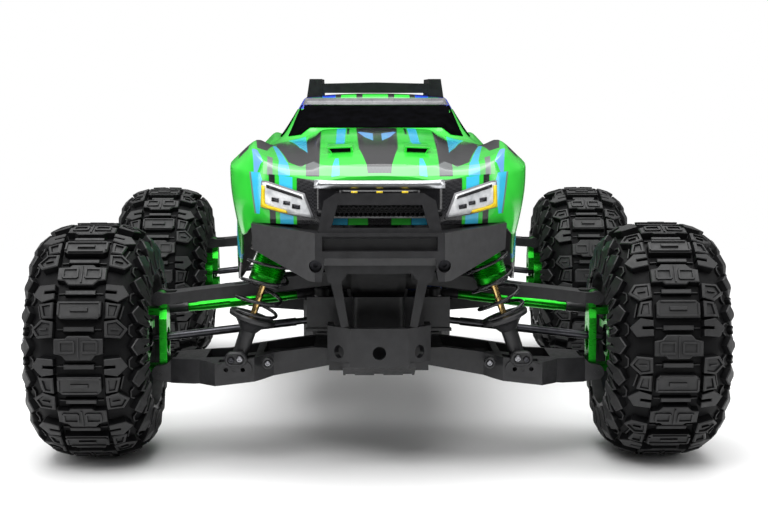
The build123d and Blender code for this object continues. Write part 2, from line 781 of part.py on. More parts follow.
def make_chassis_tub():
    """Moulded tub: floor, side walls, motor bulkhead, idler post and side guards."""
    half = [(34, -152), (46, -138), (54, -100), (54, 100), (46, 138), (34, 152)]
    wall = [(31.5, -149.5), (43.5, -136), (51, -99.5), (51, 99.5), (43.5, 136), (31.5, 149.5)]
    outside = half + [(-x, y) for x, y in reversed(half)]
    inside = wall + [(-x, y) for x, y in reversed(wall)]
    with BuildPart() as tub:
        extrude(outline(Plane.XY.offset(FLOOR_Z), outside), amount=30)
        extrude(outline(Plane.XY.offset(FLOOR_Z + FLOOR_T), inside), amount=40, mode=Mode.SUBTRACT)
        with Locations((0, 150, 90), (0, -150, 90)):
            Box(18, 20, 30, mode=Mode.SUBTRACT)
        with BuildSketch(side_plane(59.5)):
            with Locations((-24, 92)):
                Rectangle(46, 47)
        extrude(amount=3.6)
        with BuildSketch(side_plane(60)):
            with Locations((MOTOR_X, SHAFT_Z)):
                Circle(4)
            with Locations((0, SHAFT_Z)):
                Circle(5)
        extrude(amount=5, mode=Mode.SUBTRACT)
        with BuildSketch(Plane.XY.offset(FLOOR_Z + 1)):
            with Locations((CRANK_X, CRANK_Y)):
                Circle(4.8)
        extrude(amount=31)
        with BuildSketch(Plane.XY.offset(FLOOR_Z + 1)):
            with Locations((CRANK_X, CRANK_Y)):
                Circle(3)
        extrude(amount=44)
        for sense in (-1, 1):
            with BuildSketch(Plane.XY.offset(86)):
                with BuildLine():
                    Polyline((sense * 53, -92), (sense * 97, -70), (sense * 97, 70),
                             (sense * 53, 92), close=True)
                make_face()
                with BuildLine():
                    Polyline((sense * 52, -78), (sense * 90, -62), (sense * 90, 62),
                             (sense * 52, 78), close=True)
                make_face(mode=Mode.SUBTRACT)
            extrude(amount=8)
            with Locations(*[(sense * 72, y, 90) for y in (-26, 26)]):
                Box(38, 6, 8)
    return tub.part


def make_fasteners():
    """Hinge pins of the arms' inner ends, and the bumper's and skid's screws."""
    pins = []
    for end in (-1, 1):
        for side in (-1, 1):
            with BuildPart() as lower_pin:
                with BuildSketch(
                    side_plane(end * AXLE_Y, side * LOWER_IN.X, LOWER_IN.Z)
                ):
                    Circle(PIN_R)
                extrude(amount=32.3, both=True)
            with BuildPart() as upper_pin:
                with BuildSketch(
                    side_plane(end * (AXLE_Y - 5.5), side * UPPER_IN.X, UPPER_IN.Z)
                ):
                    Circle(PIN_R)
                extrude(amount=13.5, both=True)
            pins += [lower_pin.part, upper_pin.part]
    for side in (-1, 1):
        with BuildPart() as screw:
            with BuildSketch(side_plane(-262, side * BUMPER_SCREW[0], BUMPER_SCREW[1])):
                Circle(3.6)
            extrude(amount=12)
            with BuildSketch(side_plane(-255, side * BUMPER_SCREW[0], BUMPER_SCREW[1])):
                Circle(1.9)
            extrude(amount=8)
            with BuildSketch(side_plane(-271, side * BUMPER_SCREW[0], BUMPER_SCREW[1])):
                RegularPolygon(1.8, 6)
            extrude(amount=4, mode=Mode.SUBTRACT)
        pins.append(screw.part)
    return Compound(children=pins)


def make_battery():
    with BuildPart() as battery:
        with Locations((29, -16, FLOOR_Z + FLOOR_T + 0.2 + 23)):
            Box(40, 136, 46)
        fillet(battery.edges(), 3)
    return battery.part


def make_esc():
    """Speed control: finned case with a round fan on top."""
    with BuildPart() as esc:
        with Locations((-29, -56, FLOOR_Z + FLOOR_T + 0.2 + 13)):
            Box(38, 62, 26)
        fillet(esc.edges().filter_by(Axis.Z), 3)
        with BuildSketch(Plane.XY.offset(95)):
            with Locations((-29, -56)):
                RectangleRounded(32, 32, 3)
                Circle(13, mode=Mode.SUBTRACT)
        extrude(amount=9)
        with Locations((-29, -56, 99)):
            Cylinder(5, 8)
    return esc.part


def make_receiver_box():
    with BuildPart() as box:
        with Locations((26, 100, FLOOR_Z + FLOOR_T + 0.2 + 11)):
            Box(34, 38, 22)
        fillet(box.edges().filter_by(Axis.Z), 4)
        chamfer(box.faces().sort_by(Axis.Z)[-1].edges(), 1.5)
    return box.part


# ---------------------------------------------------------------- bumpers
def make_front_bumper():
    """Faceted bumper with swept wings, a hoop round the grille and V braces to the skid."""
    front_y = -282.0
    wing_plan = [
        (-82, -226), (-82, -240), (-40, front_y), (40, front_y), (82, -240), (82, -226),
        (38, -261), (-38, -261),
    ]
    half_face = [(34.5, 141), (36, 131.5), (44, 131.5), (81, 147.5), (82, 164), (39, 161.5)]
    face = half_face + [(-x, z) for x, z in reversed(half_face)]
    plate = [(20, 135.6), (24.4, 129.8), (32, 129.8), (35.5, 142)]
    lip = [(front_y - 1, 146), (front_y - 1, 140), (-276, 140), (front_y, 146)]
    arch = [(-39, -1), (-34.5, 22.3), (-27, 27), (27, 27), (34.5, 22.3), (39, -1)]
    window = [(-30.2, 5.6), (-26, 19.7), (26, 19.7), (30.2, 5.6)]
    with BuildPart() as bumper:
        extrude(outline(Plane.XY.offset(120), wing_plan), amount=50)
        extrude(outline(side_plane(-200), face), amount=100, mode=Mode.INTERSECT)
        with BuildSketch(side_plane(front_y + 6)):
            with Locations((0, 154.9)):
                Rectangle(71, 9.2)
        extrude(amount=10, mode=Mode.SUBTRACT)
        extrude(outline(across_plane(-34.5), lip), amount=69, mode=Mode.SUBTRACT)
        extrude(outline(side_plane(-266), plate + [(-x, z) for x, z in reversed(plate)]), amount=8)
        hoop = Plane(origin=(0, -271, 158), x_dir=(1, 0, 0), z_dir=(0, -1, 0.12))
        with BuildSketch(hoop):
            with BuildLine():
                Polyline(*arch, close=True)
            make_face()
            with BuildLine():
                Polyline(*window, close=True)
            make_face(mode=Mode.SUBTRACT)
        extrude(amount=9)
        for sense in (-1, 1):
            brace = [(sense * 25, 131), (sense * 32, 131), (sense * 24.5, SKID_TOP_Z + 0.2),
                     (sense * 19.5, SKID_TOP_Z + 0.2)]
            extrude(outline(side_plane(-243), brace), amount=5)
            with Locations((sense * 28.5, -257, 133)):
                Box(8, 32, 5)
            with BuildSketch(side_plane(-250, sense * BUMPER_SCREW[0], BUMPER_SCREW[1])):
                Circle(1.9)
            extrude(amount=60, mode=Mode.SUBTRACT)
            with BuildSketch(side_plane(-262, sense * BUMPER_SCREW[0], BUMPER_SCREW[1])):
                Circle(4)
            extrude(amount=60, mode=Mode.SUBTRACT)
    return bumper.part


def make_rear_bumper():
    """Rear bar with swept ends, brackets down to the rear skid and two screw holes."""
    plan = [(-46, 256), (-46, 268), (-36, 282), (36, 282), (46, 268), (46, 256), (34, 270),
            (-34, 270)]
    with BuildPart() as bumper:
        with BuildSketch(Plane.XY.offset(100)):
            with BuildLine():
                Polyline(*plan, close=True)
            make_face()
        extrude(amount=24)
        chamfer(bumper.faces().sort_by(Axis.Y)[-1].edges().filter_by(Axis.X), 4)
        for sense in (-1, 1):
            with BuildSketch(across_plane(sense * 20 - 4)):
                with BuildLine():
                    Polyline((243, SKID_TOP_Z + 0.2), (249, SKID_TOP_Z + 0.2), (271, 106),
                             (271, 116), (262, 116), (243, 103), close=True)
                make_face()
            extrude(amount=8)
        with BuildSketch(side_plane(290)):
            with Locations((-26, 112), (26, 112)):
                Circle(1.6)
        extrude(amount=40, mode=Mode.SUBTRACT)
    return bumper.part


# ---------------------------------------------------------------- body shell
# Half outline at each station, from the bottom edge up over the fender to the centre line.
STATIONS = [
    (-264, [(38, 165), (40, 172), (40, 184), (38, 191), (30, 194), (20, 195), (0, 196)]),
    (-240, [(72, 164), (78, 170), (80, 186), (75, 195), (50, 197), (36, 201), (0, 202)]),
    (-226, [(80, 163.5), (85, 170), (89, 186), (82, 200), (55, 199), (39, 203), (0, 204.5)]),
    (-212, [(88, 146), (93, 162), (97, 187), (89, 205), (60, 200), (42, 206), (0, 207)]),
    (-180, [(93, 140), (98, 165), (101, 196), (87, 211), (64, 203), (44, 210), (0, 211)]),
    (-130, [(97, 124), (100, 160), (101, 195), (85, 210), (66, 206), (47, 214), (0, 216)]),
    (-72, [(104, 112), (104, 150), (99, 190), (81, 204), (70, 209), (54, 217), (0, 220)]),
    (-2, [(106, 110), (106, 150), (97, 190), (79, 206), (67, 213), (57, 238), (0, 243)]),
    (92, [(106, 110), (106, 150), (97, 190), (80, 206), (67, 213), (56, 239), (0, 244)]),
    (126, [(104, 112), (106, 150), (99, 190), (84, 206), (70, 208), (60, 211), (0, 212)]),
    (184, [(94, 140), (100, 165), (102, 196), (88, 211), (70, 206), (60, 204), (0, 205)]),
    (240, [(90, 152), (96, 170), (96, 190), (86, 202), (70, 200), (60, 199), (0, 200)]),
    (256, [(84, 154), (88, 168), (88, 186), (80, 196), (66, 196), (56, 195), (0, 196)]),
]


def inset(points, distance):
    """The outline moved inwards by this distance, corner by corner, the bottom left open."""
    moved = []
    for i, (x, z) in enumerate(points):
        before = points[max(i - 1, 0)]
        after = points[min(i + 1, len(points) - 1)]
        dx, dz = after[0] - before[0], after[1] - before[1]
        size = hypot(dx, dz)
        moved.append((x - distance * dz / size, z + distance * dx / size))
    return moved


def shell_outline(half, drop=0.0):
    """Whole outline from one half; drop lowers the bottom edge."""
    left = [(half[0][0], half[0][1] - drop)] + half[1:]
    return [(x, z) for x, z in left] + [(-x, z) for x, z in reversed(left[:-1])]


def make_body_shell():
    """Thin moulded body: nose, raised fenders, hood, cab and bed, open underneath."""
    with BuildPart() as shell:
        for y, half in STATIONS:
            with BuildSketch(side_plane(y)):
                with BuildLine():
                    Polyline(*shell_outline(half), close=True)
                make_face()
        loft(ruled=True)
        last = len(STATIONS) - 1
        for i, (y, half) in enumerate(STATIONS):
            shift = SHELL_T if i == 0 else -SHELL_T if i == last else 0
            with BuildSketch(side_plane(y + shift)):
                with BuildLine():
                    Polyline(*shell_outline(inset(half, SHELL_T), 6), close=True)
                make_face()
        loft(ruled=True, mode=Mode.SUBTRACT)
        for end in (-1, 1):
            with BuildSketch(across_plane(-120, end * AXLE_Y, 88)):
                Circle(80)
            extrude(amount=240, mode=Mode.SUBTRACT)
    return shell.part


def make_roof_skid():
    """Roof guard: two rails along the roof edges joined by cross bars."""
    with BuildPart() as skid:
        for sense in (-1, 1):
            with BuildSketch(side_plane(96)):
                with BuildLine():
                    Polyline((sense * 42, 244.6), (sense * 54.5, 241), (sense * 52, 257.5),
                             (sense * 42.5, 257.5), close=True)
                make_face()
            extrude(amount=96)
        for y in (8, 30, 52, 74, 94):
            with BuildSketch(side_plane(y)):
                with BuildLine():
                    Polyline((-44, 246.4), (44, 246.4), (44, 253.8), (0, 254.8), (-44, 253.8),
                             close=True)
                make_face()
            extrude(amount=7)
    return skid.part


# ---------------------------------------------------------------- write every node
write_corners("tyre", make_tyre())
write_corners("rim", make_rim())
write_corners("lower_arm", make_lower_arm())
write_corners("upper_arm", make_upper_arm())
write_corners("half_shaft", make_half_shaft())
write_corners("shock_body", make_shock_body())
write_corners("shock_rod", make_shock_rod())
write_corners("shock_spring", make_shock_spring())
write_pair("caster_block", make_caster_block())
write_pair("steering_block", make_steering_block())
write_pair("axle_carrier", mirrored_y(make_axle_carrier()))
write_pair("toe_link", make_toe_link())
write("servo", make_servo())
write("servo_horn", make_crank(-CRANK_X, 98.5))
write("idler_crank", make_idler_crank())
write("drag_link", make_drag_link())
write("spur_gear", make_spur_gear())
write("motor_pinion", make_motor_pinion())
write("centre_shaft", make_centre_shaft())
write("motor", make_motor())
gearbox = make_gearbox()
write("gearbox_housings", Compound(children=[gearbox, mirrored_y(gearbox)]))
tower = make_shock_tower()
write("shock_towers", Compound(children=[tower, mirrored_y(tower)]))
skid = make_skid_plate()
write("skid_plates", Compound(children=[skid, mirrored_y(skid)]))
write("chassis_tub", make_chassis_tub())
write("fasteners", make_fasteners())
write("battery", make_battery())
write("esc", make_esc())
write("receiver_box", make_receiver_box())
write("bumper_front", make_front_bumper())
write("bumper_rear", make_rear_bumper())
write("body_shell", make_body_shell())
write("roof_skid", make_roof_skid())
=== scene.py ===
import math

import bmesh
import bpy
from mathutils import Matrix, Vector, geometry
from mathutils.bvhtree import BVHTree


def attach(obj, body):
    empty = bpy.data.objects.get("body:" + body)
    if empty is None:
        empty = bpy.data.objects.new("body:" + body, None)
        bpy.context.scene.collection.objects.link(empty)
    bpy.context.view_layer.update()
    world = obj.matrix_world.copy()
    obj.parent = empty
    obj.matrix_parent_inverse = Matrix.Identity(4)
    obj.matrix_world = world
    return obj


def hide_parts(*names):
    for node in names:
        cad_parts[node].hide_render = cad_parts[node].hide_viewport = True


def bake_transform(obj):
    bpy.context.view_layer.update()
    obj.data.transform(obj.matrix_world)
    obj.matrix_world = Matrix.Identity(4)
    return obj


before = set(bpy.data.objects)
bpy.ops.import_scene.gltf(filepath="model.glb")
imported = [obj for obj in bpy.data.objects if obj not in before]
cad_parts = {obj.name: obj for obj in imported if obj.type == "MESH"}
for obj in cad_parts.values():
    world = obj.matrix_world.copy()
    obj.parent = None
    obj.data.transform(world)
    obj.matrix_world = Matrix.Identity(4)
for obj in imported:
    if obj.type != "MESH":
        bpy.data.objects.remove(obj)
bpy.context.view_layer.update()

# All sizes below are millimetres unless a name says otherwise. The truck's nose points along -Y.
MM = 0.001
AXLE_Y = 184.5
HUB_Z = 80.0
TYRE_X = 190.0
TYRE_R = 80.0
KINGPIN_X = 160.0
SHOCK_TOP = Vector((60.0, 214.5, 168.0))
SHOCK_FOOT = Vector((95.0, 214.5, 66.0))
TOE_IN = Vector((39.0, -158.5, 108.8))
TOE_OUT = Vector((160.0, -158.5, 95.0))
CORNERS = {"front_left": (1, -1), "front_right": (-1, -1), "rear_left": (1, 1), "rear_right": (-1, 1)}


# ---- camera, floor and light
def look_at_object():
    camera = bpy.data.cameras.new("camera")
    camera.sensor_width = 36.0
    camera.lens = 70.4
    holder = bpy.data.objects.new("camera", camera)
    holder.location = (-0.0122, -1.1988, 0.2489)
    holder.rotation_euler = (math.radians(90 - 6.576), 0, math.radians(-0.915))
    bpy.context.scene.collection.objects.link(holder)
    bpy.context.scene.camera = holder


def area_light(name, place, aim, size, watts):
    light = bpy.data.lights.new(name, "AREA")
    light.shape = "RECTANGLE"
    light.size, light.size_y = size
    light.energy = watts
    holder = bpy.data.objects.new(name, light)
    holder.location = place
    holder.rotation_euler = (Vector(aim) - Vector(place)).to_track_quat("-Z", "Y").to_euler()
    bpy.context.scene.collection.objects.link(holder)


def studio():
    """Soft lights, and a sky that is white behind the truck but dim near the horizon in reflections."""
    area_light("key", (-0.5, -1.5, 1.9), (0, 0, 0.1), (1.6, 1.0), 26)
    area_light("top", (0, 0.1, 1.9), (0, 0, 0), (2.6, 2.8), 52)
    area_light("left_strip", (-1.7, -0.3, 0.7), (0, 0, 0.1), (0.5, 1.6), 9)
    area_light("right_strip", (1.7, -0.3, 0.7), (0, 0, 0.1), (0.5, 1.6), 9)
    world = bpy.data.worlds.new("studio")
    world.use_nodes = True
    nodes, links = world.node_tree.nodes, world.node_tree.links
    background = nodes["Background"]
    height = nodes.new("ShaderNodeSeparateXYZ")
    links.new(nodes.new("ShaderNodeTexCoord").outputs["Generated"], height.inputs[0])
    sky = nodes.new("ShaderNodeMapRange")
    links.new(height.outputs["Z"], sky.inputs["Value"])
    sky.inputs["From Min"].default_value = 0.0
    sky.inputs["From Max"].default_value = 0.8
    sky.inputs["To Min"].default_value = 0.05
    sky.inputs["To Max"].default_value = 0.55
    seen = nodes.new("ShaderNodeMix")
    links.new(nodes.new("ShaderNodeLightPath").outputs["Is Camera Ray"], seen.inputs[0])
    links.new(sky.outputs["Result"], seen.inputs[2])
    seen.inputs[3].default_value = 1.0
    links.new(seen.outputs[0], background.inputs["Strength"])
    background.inputs["Color"].default_value = (1, 1, 1, 1)
    bpy.context.scene.world = world
    bpy.context.scene.view_settings.view_transform = "Standard"


# ---- materials
class Shader:
    """A principled material with short names for the nodes that it uses."""

    def __init__(self, name, color, roughness, metallic=0.0, specular=0.5, coat=0.0):
        self.material = bpy.data.materials.new(name)
        self.material.use_nodes = True
        self.nodes = self.material.node_tree.nodes
        self.links = self.material.node_tree.links
        self.bsdf = self.nodes["Principled BSDF"]
        self.color((*color, 1))
        self.rough(roughness)
        self.set(self.bsdf, "Metallic", metallic)
        self.set(self.bsdf, "Specular IOR Level", specular)
        self.set(self.bsdf, "Coat Weight", coat)

    def set(self, node, socket, value):
        """Links an output, or sets a value."""
        if isinstance(value, bpy.types.NodeSocket):
            self.links.new(value, node.inputs[socket])
        else:
            node.inputs[socket].default_value = value

    def place(self):
        """The point of the object, in metres."""
        return self.nodes.new("ShaderNodeTexCoord").outputs["Object"]

    def math(self, operation, a, b=0.0, c=0.0):
        node = self.nodes.new("ShaderNodeMath")
        node.operation = operation
        for i, value in enumerate((a, b, c)):
            self.set(node, i, value)
        return node.outputs[0]

    def noise(self, scale, detail=3.0, roughness=0.6, vector=None):
        node = self.nodes.new("ShaderNodeTexNoise")
        self.set(node, "Scale", scale)
        self.set(node, "Detail", detail)
        self.set(node, "Roughness", roughness)
        self.set(node, "Vector", vector or self.place())
        return node.outputs["Fac"]

    def ramp(self, value, low, high, at=(0.3, 0.7)):
        """Two colours or two grey levels, low to high."""
        node = self.nodes.new("ShaderNodeValToRGB")
        for element, position, colour in zip(node.color_ramp.elements, at, (low, high)):
            element.position = position
            element.color = (*colour, 1) if hasattr(colour, "__len__") else (colour, colour, colour, 1)
        self.set(node, "Fac", value)
        return node.outputs["Color"]

    def mix(self, share, a, b):
        node = self.nodes.new("ShaderNodeMix")
        node.data_type = "RGBA"
        self.set(node, 0, share)
        for socket, value in ((6, a), (7, b)):
            self.set(node, socket, value if isinstance(value, bpy.types.NodeSocket) else (*value, 1))
        return node.outputs[2]

    def bump(self, height, strength, distance_mm):
        node = self.nodes.new("ShaderNodeBump")
        self.set(node, "Height", height)
        self.set(node, "Strength", strength)
        self.set(node, "Distance", distance_mm * MM)
        self.set(self.bsdf, "Normal", node.outputs["Normal"])

    def color(self, value):
        self.set(self.bsdf, "Base Color", value)

    def rough(self, value):
        self.set(self.bsdf, "Roughness", value)


def grained(name, dark, light, rough, grain=2600, bump=0.25, specular=0.5, coat=0.0):
    """Moulded or cast surface: mottled colour, uneven gloss and a fine grain."""
    made = Shader(name, dark, rough[0], specular=specular, coat=coat)
    made.color(made.ramp(made.noise(140, 4), dark, light))
    made.rough(made.ramp(made.noise(310, 3), rough[0], rough[1]))
    made.bump(made.noise(grain, 2), bump, 0.08)
    return made.material


def turned(name, dark, light, rough):
    """Metal with fine turning marks and a slight change of tone."""
    made = Shader(name, dark, rough[0], metallic=1.0)
    stretched = made.nodes.new("ShaderNodeMapping")
    made.set(stretched, "Vector", made.place())
    made.set(stretched, "Scale", (60, 60, 900))
    made.color(made.ramp(made.noise(90, 3), dark, light))
    made.rough(made.ramp(made.noise(2.0, 3, vector=stretched.outputs[0]), rough[0], rough[1]))
    made.bump(made.noise(3.0, 2, vector=stretched.outputs[0]), 0.12, 0.03)
    return made.material


def rubber(name, dark, light, gloss):
    """Tyre rubber: dull and dark, with a dusty bloom and tiny mould pits."""
    made = Shader(name, dark, 0.6, specular=gloss)
    made.color(made.ramp(made.noise(60, 5, 0.7), dark, light))
    made.rough(made.ramp(made.noise(240, 4), 0.46, 0.66))
    made.bump(made.math("ADD", made.noise(1800, 3), made.noise(420, 2)), 0.25, 0.12)
    return made.material


RUBBER = rubber("rubber", (0.009, 0.009, 0.0095), (0.020, 0.020, 0.021), 0.48)
# painted shade: this darker, duller rubber covers the carcass, the groove floors and the blocks' walls,
# standing in for shade between the tread blocks
RUBBER_GROOVE_SHADE = rubber("rubber_painted_groove_shade", (0.0025, 0.0025, 0.003), (0.006, 0.006, 0.0065), 0.12)
NYLON = grained("black_nylon", (0.009, 0.009, 0.010), (0.019, 0.019, 0.021), (0.34, 0.48))
NYLON_MATTE = grained(
    "matte_nylon", (0.008, 0.008, 0.009), (0.016, 0.016, 0.018), (0.5, 0.66), bump=0.4, specular=0.3
)
CASE = grained("case_plastic", (0.008, 0.008, 0.010), (0.018, 0.018, 0.020), (0.4, 0.55), 1800, specular=0.35)
GREEN = turned("green_alloy", (0.012, 0.36, 0.016), (0.03, 0.50, 0.03), (0.24, 0.38))
GOLD = turned("gold_alloy", (0.62, 0.40, 0.13), (0.82, 0.58, 0.25), (0.16, 0.28))
STEEL = turned("steel", (0.22, 0.22, 0.24), (0.40, 0.40, 0.42), (0.22, 0.36))
DARK_STEEL = turned("dark_steel", (0.04, 0.04, 0.045), (0.09, 0.09, 0.10), (0.25, 0.4))
SPRING = grained("spring_coat", (0.008, 0.008, 0.009), (0.02, 0.02, 0.022), (0.18, 0.30), bump=0.1)
CHROME = turned("chrome_strip", (0.50, 0.51, 0.53), (0.66, 0.67, 0.69), (0.26, 0.36))
BATTERY = grained("battery_wrap", (0.02, 0.05, 0.20), (0.03, 0.08, 0.28), (0.22, 0.32), bump=0.08)
LENS = grained("lamp_lens", (0.50, 0.52, 0.54), (0.95, 0.96, 0.97), (0.08, 0.18), bump=0.1, coat=0.6)
LAMP_YELLOW = grained("lamp_yellow", (0.90, 0.62, 0.01), (1.0, 0.76, 0.03), (0.15, 0.25), bump=0.05)
LAMP_RED = grained("lamp_red", (0.35, 0.01, 0.01), (0.55, 0.02, 0.02), (0.1, 0.2), bump=0.05)
SMOKE = grained(
    "smoked_window", (0.002, 0.002, 0.002), (0.004, 0.004, 0.005), (0.22, 0.30), bump=0.02, specular=0.0
)
BLACK_GLOSS = grained("black_gloss", (0.006, 0.006, 0.007), (0.014, 0.014, 0.016), (0.12, 0.22), bump=0.05)
STRIP_GREY = grained("strip_grey", (0.16, 0.16, 0.17), (0.24, 0.24, 0.25), (0.25, 0.35), bump=0.05)


# ---- mesh helpers
def link(name, mesh, material, sharp_deg=35.0):
    for one in material if isinstance(material, (list, tuple)) else [material]:
        mesh.materials.append(one)
    mesh.polygons.foreach_set("use_smooth", [True] * len(mesh.polygons))
    mesh.set_sharp_from_angle(angle=math.radians(sharp_deg))
    piece = bpy.data.objects.new(name, mesh)
    bpy.context.scene.collection.objects.link(piece)
    return piece


class Builder:
    """Collects points in millimetres and faces, and turns them into one mesh."""

    def __init__(self):
        self.bm = bmesh.new()
        self.slot = 0

    def points(self, places):
        return [self.bm.verts.new(Vector(p) * MM) for p in places]

    def face(self, verts):
        made = self.bm.faces.new(verts)
        made.material_index = self.slot
        return made

    def bridge(self, rings):
        """Quads between rings of as many points each."""
        for low, high in zip(rings, rings[1:]):
            for i in range(len(low)):
                k = (i + 1) % len(low)
                self.face([low[i], low[k], high[k], high[i]])

    def lathe(self, profile, centre, axis, segments=48, closed_profile=False):
        """Turns (along, radius) pairs round an axis through centre."""
        axis = Vector(axis).normalized()
        across = axis.orthogonal().normalized()
        up = axis.cross(across)
        if closed_profile:
            profile = list(profile) + [profile[0]]
        rings = []
        for along, radius in profile:
            ring = []
            for k in range(segments):
                turn = 2 * math.pi * k / segments
                spoke = across * math.cos(turn) + up * math.sin(turn)
                ring.append(Vector(centre) + axis * along + spoke * max(radius, 0.001))
            rings.append(self.points(ring))
        self.bridge(rings)
        if not closed_profile:
            for ring, (_, radius) in ((rings[0], profile[0]), (rings[-1], profile[-1])):
                if radius > 0.01:
                    self.face(ring)

    def tube(self, path, radius, sides):
        """Round tube along a list of points."""
        turns = [2 * math.pi * k / sides for k in range(sides)]
        rings = []
        normal = None
        for i, point in enumerate(path):
            tangent = (path[min(i + 1, len(path) - 1)] - path[max(i - 1, 0)]).normalized()
            normal = tangent.orthogonal() if normal is None else normal - tangent * normal.dot(tangent)
            normal.normalize()
            side = tangent.cross(normal)
            rings.append(self.points([
                point + (normal * math.cos(t) + side * math.sin(t)) * radius for t in turns
            ]))
        self.bridge(rings)
        self.face(rings[0])
        self.face(rings[-1])

    def done(self, name, material, sharp_deg=35.0):
        bmesh.ops.recalc_face_normals(self.bm, faces=self.bm.faces)
        mesh = bpy.data.meshes.new(name)
        self.bm.to_mesh(mesh)
        self.bm.free()
        return link(name, mesh, material, sharp_deg)


def shrink(outline, distance):
    """The outline moved inwards by this distance, at each corner along its bisector."""
    area = sum(a[0] * b[1] - b[0] * a[1] for a, b in zip(outline, outline[1:] + outline[:1]))
    sign = 1 if area > 0 else -1
    moved = []
    for i, (u, v) in enumerate(outline):
        before = Vector(outline[i - 1])
        here = Vector((u, v))
        after = Vector(outline[(i + 1) % len(outline)])
        a = (here - before).normalized()
        b = (after - here).normalized()
        normal = Vector((-a.y - b.y, a.x + b.x)) * sign
        scale = max(normal.length_squared / 2, 0.35)
        moved.append((u + normal.x * distance / scale, v + normal.y * distance / scale))
    return moved


def bevel(piece, width):
    modifier = piece.modifiers.new("soft_edges", "BEVEL")
    modifier.width = width * MM
    modifier.segments = 2
    modifier.limit_method = "ANGLE"
    modifier.angle_limit = math.radians(32)


def smooth_through(points, steps):
    """Catmull-Rom curve through points of any dimension."""
    points = [Vector(p) for p in points]
    ends = [points[0] * 2 - points[1]] + points + [points[-1] * 2 - points[-2]]
    line = []
    for i in range(1, len(ends) - 2):
        a, b, c, d = ends[i - 1:i + 3]
        for k in range(steps):
            t = k / steps
            square = (2 * a - 5 * b + 4 * c - d) * t ** 2
            cube = (3 * b - a - 3 * c + d) * t ** 3
            line.append(0.5 * (2 * b + (c - a) * t + square + cube))
    return line + [points[-1]]


# ---- tyres
ROWS = 10
PITCH = 2 * math.pi * TYRE_R / ROWS
LUG_LEAN = 0.09  # turn that stands a centre block near the top of the tyre
LUG_FOOT = -0.8  # a block starts this far under the carcass's surface
AXLE = ((0, 0, 0), (1, 0, 0))  # in the wheel's own frame
CROWN = [
    (0, 73.8), (10, 73.6), (18, 72.6), (25.5, 70.0), (31, 66), (34.6, 61.4), (36.6, 57), (37.2, 53.6),
    (36.4, 50.6),
]
TREAD_LINE = smooth_through(CROWN, 8)


def along_crown(u):
    """Point (x, r) and outward normal at the distance u from the tyre's middle, over its crown."""
    walked = 0.0
    for a, b in zip(TREAD_LINE, TREAD_LINE[1:]):
        step = (b - a).length
        if walked + step >= u or b == TREAD_LINE[-1]:
            share = (u - walked) / step
            direction = (b - a).normalized()
            return a + (b - a) * share, Vector((-direction.y, direction.x))
        walked += step
    return TREAD_LINE[-1], Vector((1, 0))


def tread_point(u, v, height, side):
    """Point over the tread: u across, v round the wheel, in the wheel's own frame."""
    place, normal = along_crown(abs(u))
    raised = place + normal * height
    turn = v / TYRE_R
    x = raised.x * (side if u >= 0 else -side)
    return x, raised.y * math.sin(turn), raised.y * math.cos(turn)


def lug(builder, outline, start, height, side, chamfer=0.6, draft=0.6, sunk=0.0):
    """One tread block, wider at its foot than at its top. sunk gives it a raised rim round a lower top."""
    def ring(inwards, rise):
        return builder.points([tread_point(u, v + start, rise, side) for u, v in shrink(outline, inwards)])

    low = ring(-draft, LUG_FOOT)
    shoulder = builder.points([tread_point(u, v + start, height - chamfer, side) for u, v in outline])
    top = ring(chamfer, height)
    # the block's walls, foot to shoulder, take the darker rubber: painted shade down its sides
    builder.slot = 1
    builder.bridge([low, shoulder])
    builder.slot = 0
    builder.bridge([shoulder, top])
    if sunk:
        rim = ring(chamfer + 1.0, height)
        pan = ring(chamfer + 1.5, height - sunk)
        builder.bridge([top, rim])
        # the wall down into the sunk top takes the darker rubber too: painted shade in the hollow
        builder.slot = 1
        builder.bridge([rim, pan])
        builder.slot = 0
        top = pan
    builder.face(top)


def rib(builder, points, start, width, height, side):
    """Thin raised line between blocks."""
    for (u0, v0), (u1, v1) in zip(points, points[1:]):
        along = Vector((u1 - u0, v1 - v0)).normalized()
        n = Vector((-along.y, along.x)) * width / 2
        quad = [(u0 - n.x, v0 - n.y), (u1 - n.x, v1 - n.y), (u1 + n.x, v1 + n.y), (u0 + n.x, v0 + n.y)]
        lug(builder, quad, start, height, side, 0.15, 0.2)


